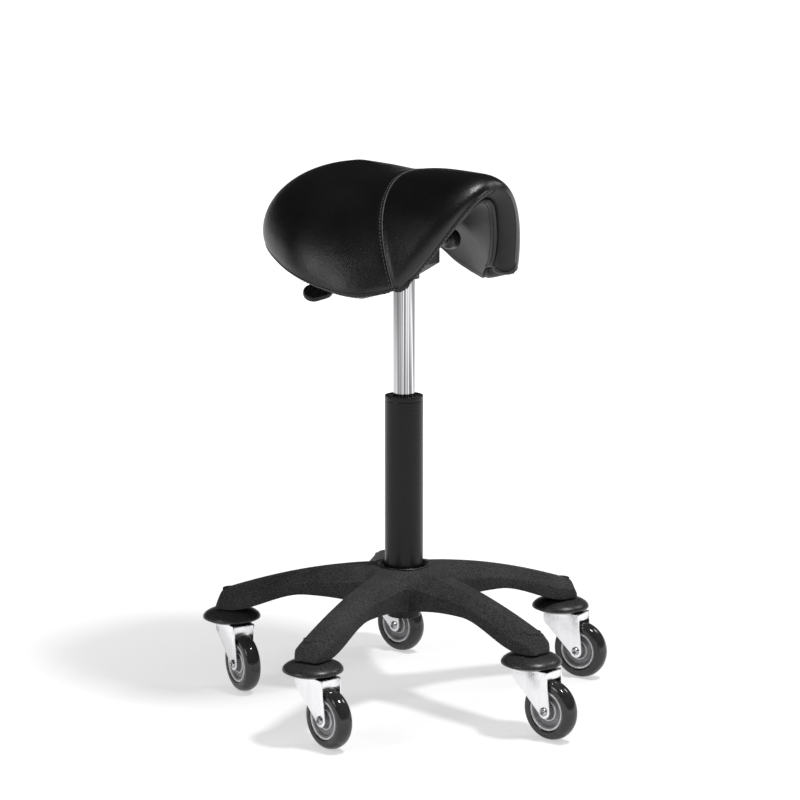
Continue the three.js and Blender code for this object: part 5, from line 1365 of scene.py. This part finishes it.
def hub_mesh():
    sector = math.pi / ARM_COUNT
    turns = np.linspace(-sector, sector, HUB_SLICES)
    rows = [hub_row(turn) for turn in turns]
    first = centre("caster_stem_1") - AXIS
    start = math.atan2(first.y, first.x)
    points = []
    for number in range(ARM_COUNT):
        for turn, row in zip(turns[:-1], rows[:-1]):
            along = start + number * 2 * sector + turn
            points += [(r * math.cos(along), r * math.sin(along), z) for r, z in row]
    columns = len(rows[0])
    count = ARM_COUNT * (len(turns) - 1)
    points += points[:columns]
    skin = mesh_from("hub_skin", points, grid_faces(count + 1, columns))
    core = [(HUB_BORE_RADIUS, hub_top() - HUB_BORE_DROP), (HUB_BORE_RADIUS, HUB_BOTTOM),
            (HUB_RADIUS, HUB_BOTTOM), (HUB_RADIUS, HUB_BOTTOM + HUB_CORE_HEIGHT)]
    return joined("hub", [skin, lathe("hub_core", core)])


def star_base():
    meshes = [hub_mesh()]
    for number in range(1, ARM_COUNT + 1):
        away = centre(f"caster_stem_{number}") - AXIS
        turn = Matrix.Rotation(math.atan2(away.y, away.x), 4, "Z")
        ribs = [cross_rib(k) for k in range(1, CROSS_RIBS + 1)]
        meshes += [moved(mesh, turn) for mesh in [arm_mesh(), long_rib(), *ribs, pin_socket()]]
    mesh = moved(joined("moulded_star", meshes), AT_AXIS)
    return piece("moulded_star", mesh, "base", NYLON, "black_nylon", ["star_base"],
                 STAR_SHARP_DEGREES)


def turned_on_axis(name, outline, edge, body, material, slot, node, sides=FINE_SIDES, closed=False):
    """A piece turned about the column's axis."""
    mesh = moved(lathe(name, rounded(outline, edge), sides, closed=closed), AT_AXIS)
    return piece(name, mesh, body, material, slot, [node])


def black_tube():
    top, bottom = high_z("column_tube"), low_z("column_tube")
    inside = TUBE_RADIUS - TUBE_WALL
    groove = [(TUBE_RADIUS - x, top - z) for x, z in scaled(GROOVE_SHARES, GROOVE_DEPTH, GROOVE_DROP)]
    outline = [(TUBE_BORE_RADIUS, bottom), (TUBE_FOOT_RADIUS, bottom),
               (TUBE_FOOT_RADIUS, bottom + TUBE_FOOT_HEIGHT), (TUBE_TAPER_RADIUS, HUB_BOTTOM),
               (TUBE_RADIUS, TUBE_TAPER_TOP), *groove, (TUBE_RADIUS, top), (inside, top),
               (inside, top - TUBE_LINING)]
    turned_on_axis("black_tube", outline, TURNED_EDGE, "base", PAINT, "black_paint", "column_tube")


def guide_ring():
    top = high_z("guide_bushing")
    steps = [(r, top - z) for r, z in scaled(GUIDE_SHARES, GUIDE_RADIUS, GUIDE_STEP)]
    outline = [(steps[-1][0], top - GUIDE_LENGTH), (GUIDE_RADIUS, top - GUIDE_LENGTH), *steps]
    turned_on_axis("guide_ring", outline, FINE_EDGE, "base", GUIDE, "grey_plastic", "guide_bushing",
                   ROUND_SIDES, closed=True)


def hub_ring():
    top = high_z("hub_insert")
    low = top - RING_LIP_HEIGHT
    outline = [(RING_BORE_RADIUS, HUB_BOTTOM), (RING_SLEEVE_RADIUS, HUB_BOTTOM), (RING_SLEEVE_RADIUS, low),
               (RING_LIP_RADIUS, low), (RING_RADIUS, (low + top) / 2)]
    outline += [(r, top - z) for r, z in scaled(RING_SHARES, RING_RADIUS, RING_DEPTH)]
    turned_on_axis("hub_ring", outline, TURNED_EDGE, "base", RING_STEEL, "bright_steel", "hub_insert",
                   closed=True)


def chrome_cylinder():
    bottom, top = low_z("gas_cylinder"), high_z("gas_cylinder")
    outline = [(CHROME_BORE_RADIUS, bottom), (CHROME_RADIUS, bottom),
               (CHROME_RADIUS, bottom + CHROME_STRAIGHT_LENGTH), (CHROME_TAPER_RADIUS, top),
               (VALVE_BORE_RADIUS, top)]
    turned_on_axis("chrome_tube", outline, TURNED_EDGE, "lift", CHROME, "bright_steel", "gas_cylinder")


# Seat mechanism

def lock_knob():
    low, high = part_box("lock_knob")
    middle = centre("lock_knob")
    start, end = low[1], high[1]
    outline = [(KNOB_BORE_RADIUS, start), (KNOB_NECK_RADIUS, start),
               (KNOB_NECK_RADIUS, end - KNOB_HEAD_LENGTH)]
    outline += [(r, end - y) for r, y in scaled(KNOB_SHARES, KNOB_RADIUS, KNOB_HEAD_LENGTH)]
    mesh = lathe("round_knob", rounded(outline, KNOB_EDGE), KNOB_SIDES, along_y=True)
    moved(mesh, Matrix.Translation((middle.x, 0, middle.z)))
    piece("round_knob", mesh, "tilt_lock", HOOD, "hood_plastic", ["lock_knob"])


def smooth_route(points):
    """A smooth curve through a few points."""
    ends = [points[0] * 2 - points[1], *points, points[-1] * 2 - points[-2]]
    route = []
    for a, b, c, d in zip(ends, ends[1:], ends[2:], ends[3:]):
        for k in range(ROUTE_STEPS):
            t = k / ROUTE_STEPS
            route.append(0.5 * ((2 * b) + (c - a) * t + (2 * a - 5 * b + 4 * c - d) * t * t
                                + (3 * b - a - 3 * c + d) * t ** 3))
    route.append(points[-1])
    return route


def lever():
    """The rod of the height lever; the cast part inside the housing stays as it is in the CAD model."""
    points = [AXIS + Vector((r * math.cos(LEVER_TURN), r * math.sin(LEVER_TURN), LEVER_HEIGHT - z))
              for r, z in scaled(LEVER_SHARES, LEVER_REACH, LEVER_DROP)]
    mesh = swept("lever_rod", smooth_route(points), LEVER_ROD_RADIUS, LEVER_ROD_SIDES)
    piece("lever_rod", mesh, "height_lever", PAINT, "black_paint", smooth_angle=0)


# Casters

def caster_place(number):
    stem = centre(f"caster_stem_{number}")
    axle = centre(f"caster_axle_{number}")
    turn = Matrix.Rotation(math.atan2(axle.y - stem.y, axle.x - stem.x), 4, "Z")
    return Matrix.Translation((stem.x, stem.y, 0)) @ turn, (axle - stem).xy.length


def hood_mesh():
    top, bottom = high_z("caster_hood_1"), low_z("caster_hood_1")
    rim = top - HOOD_CROWN_RISE
    turns = np.linspace(math.radians(HOOD_START_DEGREES), math.radians(HOOD_END_DEGREES), HOOD_STEPS)
    dome = [(HOOD_RIM_RADIUS * math.cos(t), rim + HOOD_CROWN_RISE * math.sin(t)) for t in turns]
    under = [(PIN_BORE_RADIUS, top), (PIN_BORE_RADIUS, top - HOOD_WALL),
             (HOOD_INNER_RADIUS, rim + HOOD_INNER_RISE), (HOOD_SKIRT_INNER_RADIUS, bottom)]
    edge = [(HOOD_SKIRT_RADIUS, bottom), (HOOD_LIP_RADIUS, rim - HOOD_LIP_DROP),
            (HOOD_RIM_RADIUS - HOOD_LIP_EDGE, rim - HOOD_LIP_EDGE)]
    return lathe("hood", edge + dome + under, HOOD_SIDES, closed=True)


def fork_outline(trail, axle_height):
    """A leg from the side: wide on top, slanted in front and round at the eye."""
    turns = np.linspace(math.radians(FORK_EYE_START_DEGREES), 2 * math.pi, FORK_EYE_STEPS)
    arc = [(trail + FORK_EYE_RADIUS * math.cos(t), axle_height + FORK_EYE_RADIUS * math.sin(t))
           for t in turns]
    low = FORK_TOP - FORK_LEAD_EDGE_HEIGHT
    lead = [(-FORK_LEAD, FORK_TOP), (-FORK_LEAD, low)]
    for k in range(1, FORK_LEAD_STEPS):
        t = k / FORK_LEAD_STEPS
        lead.append((-FORK_LEAD + (arc[0][0] + FORK_LEAD) * t, low + (arc[0][1] - low) * t))
    tail = []
    for k in range(1, FORK_TAIL_STEPS + 1):
        t = k / FORK_TAIL_STEPS
        tail.append((FORK_TAIL + (trail + FORK_EYE_RADIUS - FORK_TAIL) * (1 - t),
                     axle_height + (FORK_TOP - axle_height) * t))
    return lead + arc + tail


def fork_leg(trail, axle_height, side):
    """One pressed leg, leaning out above its eye."""
    ends = sorted((side * FORK_INNER, side * (FORK_INNER + FORK_THICKNESS)))
    leg = bevelled(plate("leg", fork_outline(trail, axle_height), *ends), FORK_LEG_BEVEL)
    flare_start = axle_height + FORK_EYE_RADIUS
    for vertex in leg.vertices:
        rise = max(0.0, vertex.co.z - flare_start) / (FORK_TOP - flare_start)
        vertex.co.y += side * FORK_FLARE * float(smooth(rise))
    return leg


def fork_mesh(trail, axle_height):
    wide = FORK_INNER + FORK_THICKNESS + FORK_FLARE
    legs = [fork_leg(trail, axle_height, side) for side in (1, -1)]
    bridge = box_mesh("bridge", (-FORK_LEAD, -wide, FORK_TOP - FORK_THICKNESS),
                      (FORK_TAIL, wide, FORK_TOP))
    back = box_mesh("back", (FORK_TAIL - FORK_THICKNESS, -wide, FORK_TOP - FORK_BACK_HEIGHT),
                    (FORK_TAIL, wide, FORK_TOP))
    race = lathe("race", [(PIN_BORE_RADIUS, FORK_TOP - RACE_SUNK), (RACE_RADIUS, FORK_TOP - RACE_SUNK),
                          (RACE_RADIUS, RACE_SIDE_TOP), (RACE_SHOULDER_RADIUS, RACE_SHOULDER_TOP),
                          (PIN_BORE_RADIUS, RACE_TOP)], SMALL_SIDES)
    plates = [bevelled(bridge, FORK_PLATE_BEVEL), bevelled(back, FORK_PLATE_BEVEL)]
    return joined("fork", [*legs, *plates, race])


def axle_mesh():
    """Axle bolt: a domed head with a round recess on each side."""
    side = FORK_INNER + FORK_THICKNESS + AXLE_GAP
    head = [(r, side + y) for r, y in scaled(AXLE_SHARES, AXLE_HEAD_RADIUS, AXLE_HEAD_HEIGHT)]
    return lathe("axle", both_faces(head), SMALL_SIDES, along_y=True)


def tyre_mesh():
    side = scaled(TYRE_SHARES, WHEEL_RADIUS, WHEEL_HALF_WIDTH)
    outline = side + [(r, -w) for r, w in reversed(side[:-1])]
    return lathe("tyre", rounded(outline, TYRE_EDGE), FINE_SIDES, along_y=True, closed=True)


def core_mesh():
    """Moulded core: a stepped web between its hub and its outer band."""
    outline = both_faces(scaled(CORE_SHARES, CORE_RADIUS, CORE_HALF_WIDTH))
    return lathe("core", rounded(outline, FINE_EDGE), FINE_SIDES, along_y=True, closed=True)


def painted_highlight_ring_mesh():
    """Near-white moulded lines round the core and round its hub, on both faces: painted highlights on the
    core's rims.
    """
    lines = [rounded(scaled(shares, CORE_RADIUS, side * CORE_HALF_WIDTH), HIGHLIGHT_LINE_EDGE)
             for shares in HIGHLIGHT_LINE_SHARES for side in (1, -1)]
    return joined("ring", [lathe("line", line, FINE_SIDES, along_y=True, closed=True) for line in lines])


def caster(number):
    place, trail = caster_place(number)
    height = centre(f"caster_axle_{number}").z
    at_axle = place @ Matrix.Translation((trail, 0, height))
    body, wheel = f"caster_{number}", f"wheel_{number}"
    rows = [
        ("hood", hood_mesh(), place, body, HOOD, "hood_plastic", "caster_hood"),
        ("fork", fork_mesh(trail, height), place, body, ZINC, "zinc_steel", "caster_fork"),
        ("axle", axle_mesh(), at_axle, body, BOLT_STEEL, "zinc_steel", "caster_axle"),
        ("tyre", tyre_mesh(), at_axle, wheel, TREAD, "smoky_tread", "caster_tyre"),
        ("core", core_mesh(), at_axle, wheel, CORE, "clear_core", "caster_core"),
        # the ring's near-white lines are painted highlights on the core's rims
        ("ring", painted_highlight_ring_mesh(), at_axle, wheel, RING_PAINTED_HIGHLIGHT, "clear_core", None),
    ]
    for name, mesh, matrix, carrier, material, slot, node in rows:
        replaced = [f"{node}_{number}"] if node else []
        piece(f"{name}_{number}", moved(mesh, matrix), carrier, material, slot, replaced)


# Studio

def seen_rays(tree):
    """One for what the camera sees straight on, in a reflection or through glass."""
    path = tree.nodes.new("ShaderNodeLightPath")
    total = path.outputs["Is Camera Ray"]
    for kind in ("Is Glossy Ray", "Is Transmission Ray"):
        total = arithmetic(tree, "MAXIMUM", total, path.outputs[kind])
    return total


def floor():
    """Pale paper that adds a little glow of its own where it is seen, so that only shadows are grey."""
    half = FLOOR_HALF
    mesh = mesh_from("studio_floor", [(-half, -half, 0), (half, -half, 0), (half, half, 0),
                                      (-half, half, 0)], [(0, 1, 2, 3)])
    material, tree, main = shader("studio_paper")
    tinted(tree, main, noise(tree, *FLOOR_CLOUDS), *[grey(tone, 0) for tone in FLOOR_TONES])
    main.inputs["Roughness"].default_value = FLOOR_ROUGHNESS
    main.inputs["Specular IOR Level"].default_value = 0
    main.inputs["Emission Color"].default_value = (1, 1, 1, 1)
    place = tree.nodes.new("ShaderNodeTexCoord")
    distance = tree.nodes.new("ShaderNodeVectorMath")
    distance.operation = "LENGTH"
    tree.links.new(place.outputs["Object"], distance.inputs[0])
    growing = spread(tree, distance.outputs["Value"], GLOW_START, GLOW_END, FLOOR_GLOW, 1)
    glow = arithmetic(tree, "MULTIPLY", seen_rays(tree), growing)
    tree.links.new(glow, main.inputs["Emission Strength"])
    mesh.materials.append(material)
    ground = bpy.data.objects.new("studio_floor", mesh)
    bpy.context.scene.collection.objects.link(ground)


def sky():
    """White round the horizon where it is seen, a darker ceiling, and a softer room for the light."""
    world = bpy.data.worlds.new("studio")
    bpy.context.scene.world = world
    world.use_nodes = True
    tree = world.node_tree
    tree.nodes.clear()
    out = tree.nodes.new("ShaderNodeOutputWorld")
    mix = tree.nodes.new("ShaderNodeMixShader")
    seen = tree.nodes.new("ShaderNodeBackground")
    room = tree.nodes.new("ShaderNodeBackground")
    place = tree.nodes.new("ShaderNodeTexCoord")
    axes = tree.nodes.new("ShaderNodeSeparateXYZ")
    tree.links.new(place.outputs["Generated"], axes.inputs["Vector"])
    fading = spread(tree, axes.outputs["Z"], 0, HORIZON_END, 1, CEILING_TONE)
    tree.links.new(fading, seen.inputs["Strength"])
    seen.inputs["Color"].default_value = (1, 1, 1, 1)
    room.inputs["Color"].default_value = (1, 1, 1, 1)
    room.inputs["Strength"].default_value = ROOM_LIGHT
    tree.links.new(seen_rays(tree), mix.inputs["Fac"])
    tree.links.new(room.outputs["Background"], mix.inputs[1])
    tree.links.new(seen.outputs["Background"], mix.inputs[2])
    tree.links.new(mix.outputs["Shader"], out.inputs["Surface"])


def to_shared(right, away, up):
    """A place given from the camera's side: right, away and up from the column's foot."""
    c, s = math.cos(CAMERA_TURN), math.sin(CAMERA_TURN)
    return AXIS + Vector((right * c - away * s, right * s + away * c, up))


def lights():
    for name, (place, aim, width, height, power) in LAMPS.items():
        data = bpy.data.lights.new(name, "AREA")
        data.shape = "RECTANGLE"
        data.size = width
        data.size_y = height
        data.energy = power
        lamp = bpy.data.objects.new(name, data)
        bpy.context.scene.collection.objects.link(lamp)
        lamp.location = to_shared(*place)
        lamp.rotation_euler = (to_shared(*aim) - to_shared(*place)).to_track_quat("-Z", "Y").to_euler()


def camera():
    data = bpy.data.cameras.new("camera")
    data.lens = CAMERA_LENS
    data.sensor_width = SENSOR_WIDTH
    view = bpy.data.objects.new("camera", data)
    bpy.context.scene.collection.objects.link(view)
    view.location = to_shared(CAMERA_SIDE, -CAMERA_DISTANCE, CAMERA_HEIGHT)
    view.rotation_euler = (math.pi / 2 - CAMERA_PITCH, 0, CAMERA_TURN)
    bpy.context.scene.camera = view


finish_cad_nodes()
camera()
sky()
floor()
lights()
cover("rear_cover_leather", "rear_cover", back_middle, waist_seam)
cover("front_cover_leather", "front_cover", waist_seam, arch)
border()
foam_pad()
seams()
shell()
liner()
star_base()
black_tube()
guide_ring()
hub_ring()
chrome_cylinder()
lock_knob()
lever()
for caster_number in range(1, ARM_COUNT + 1):
    caster(caster_number)
bpy.context.scene.view_settings.view_transform = "Standard"
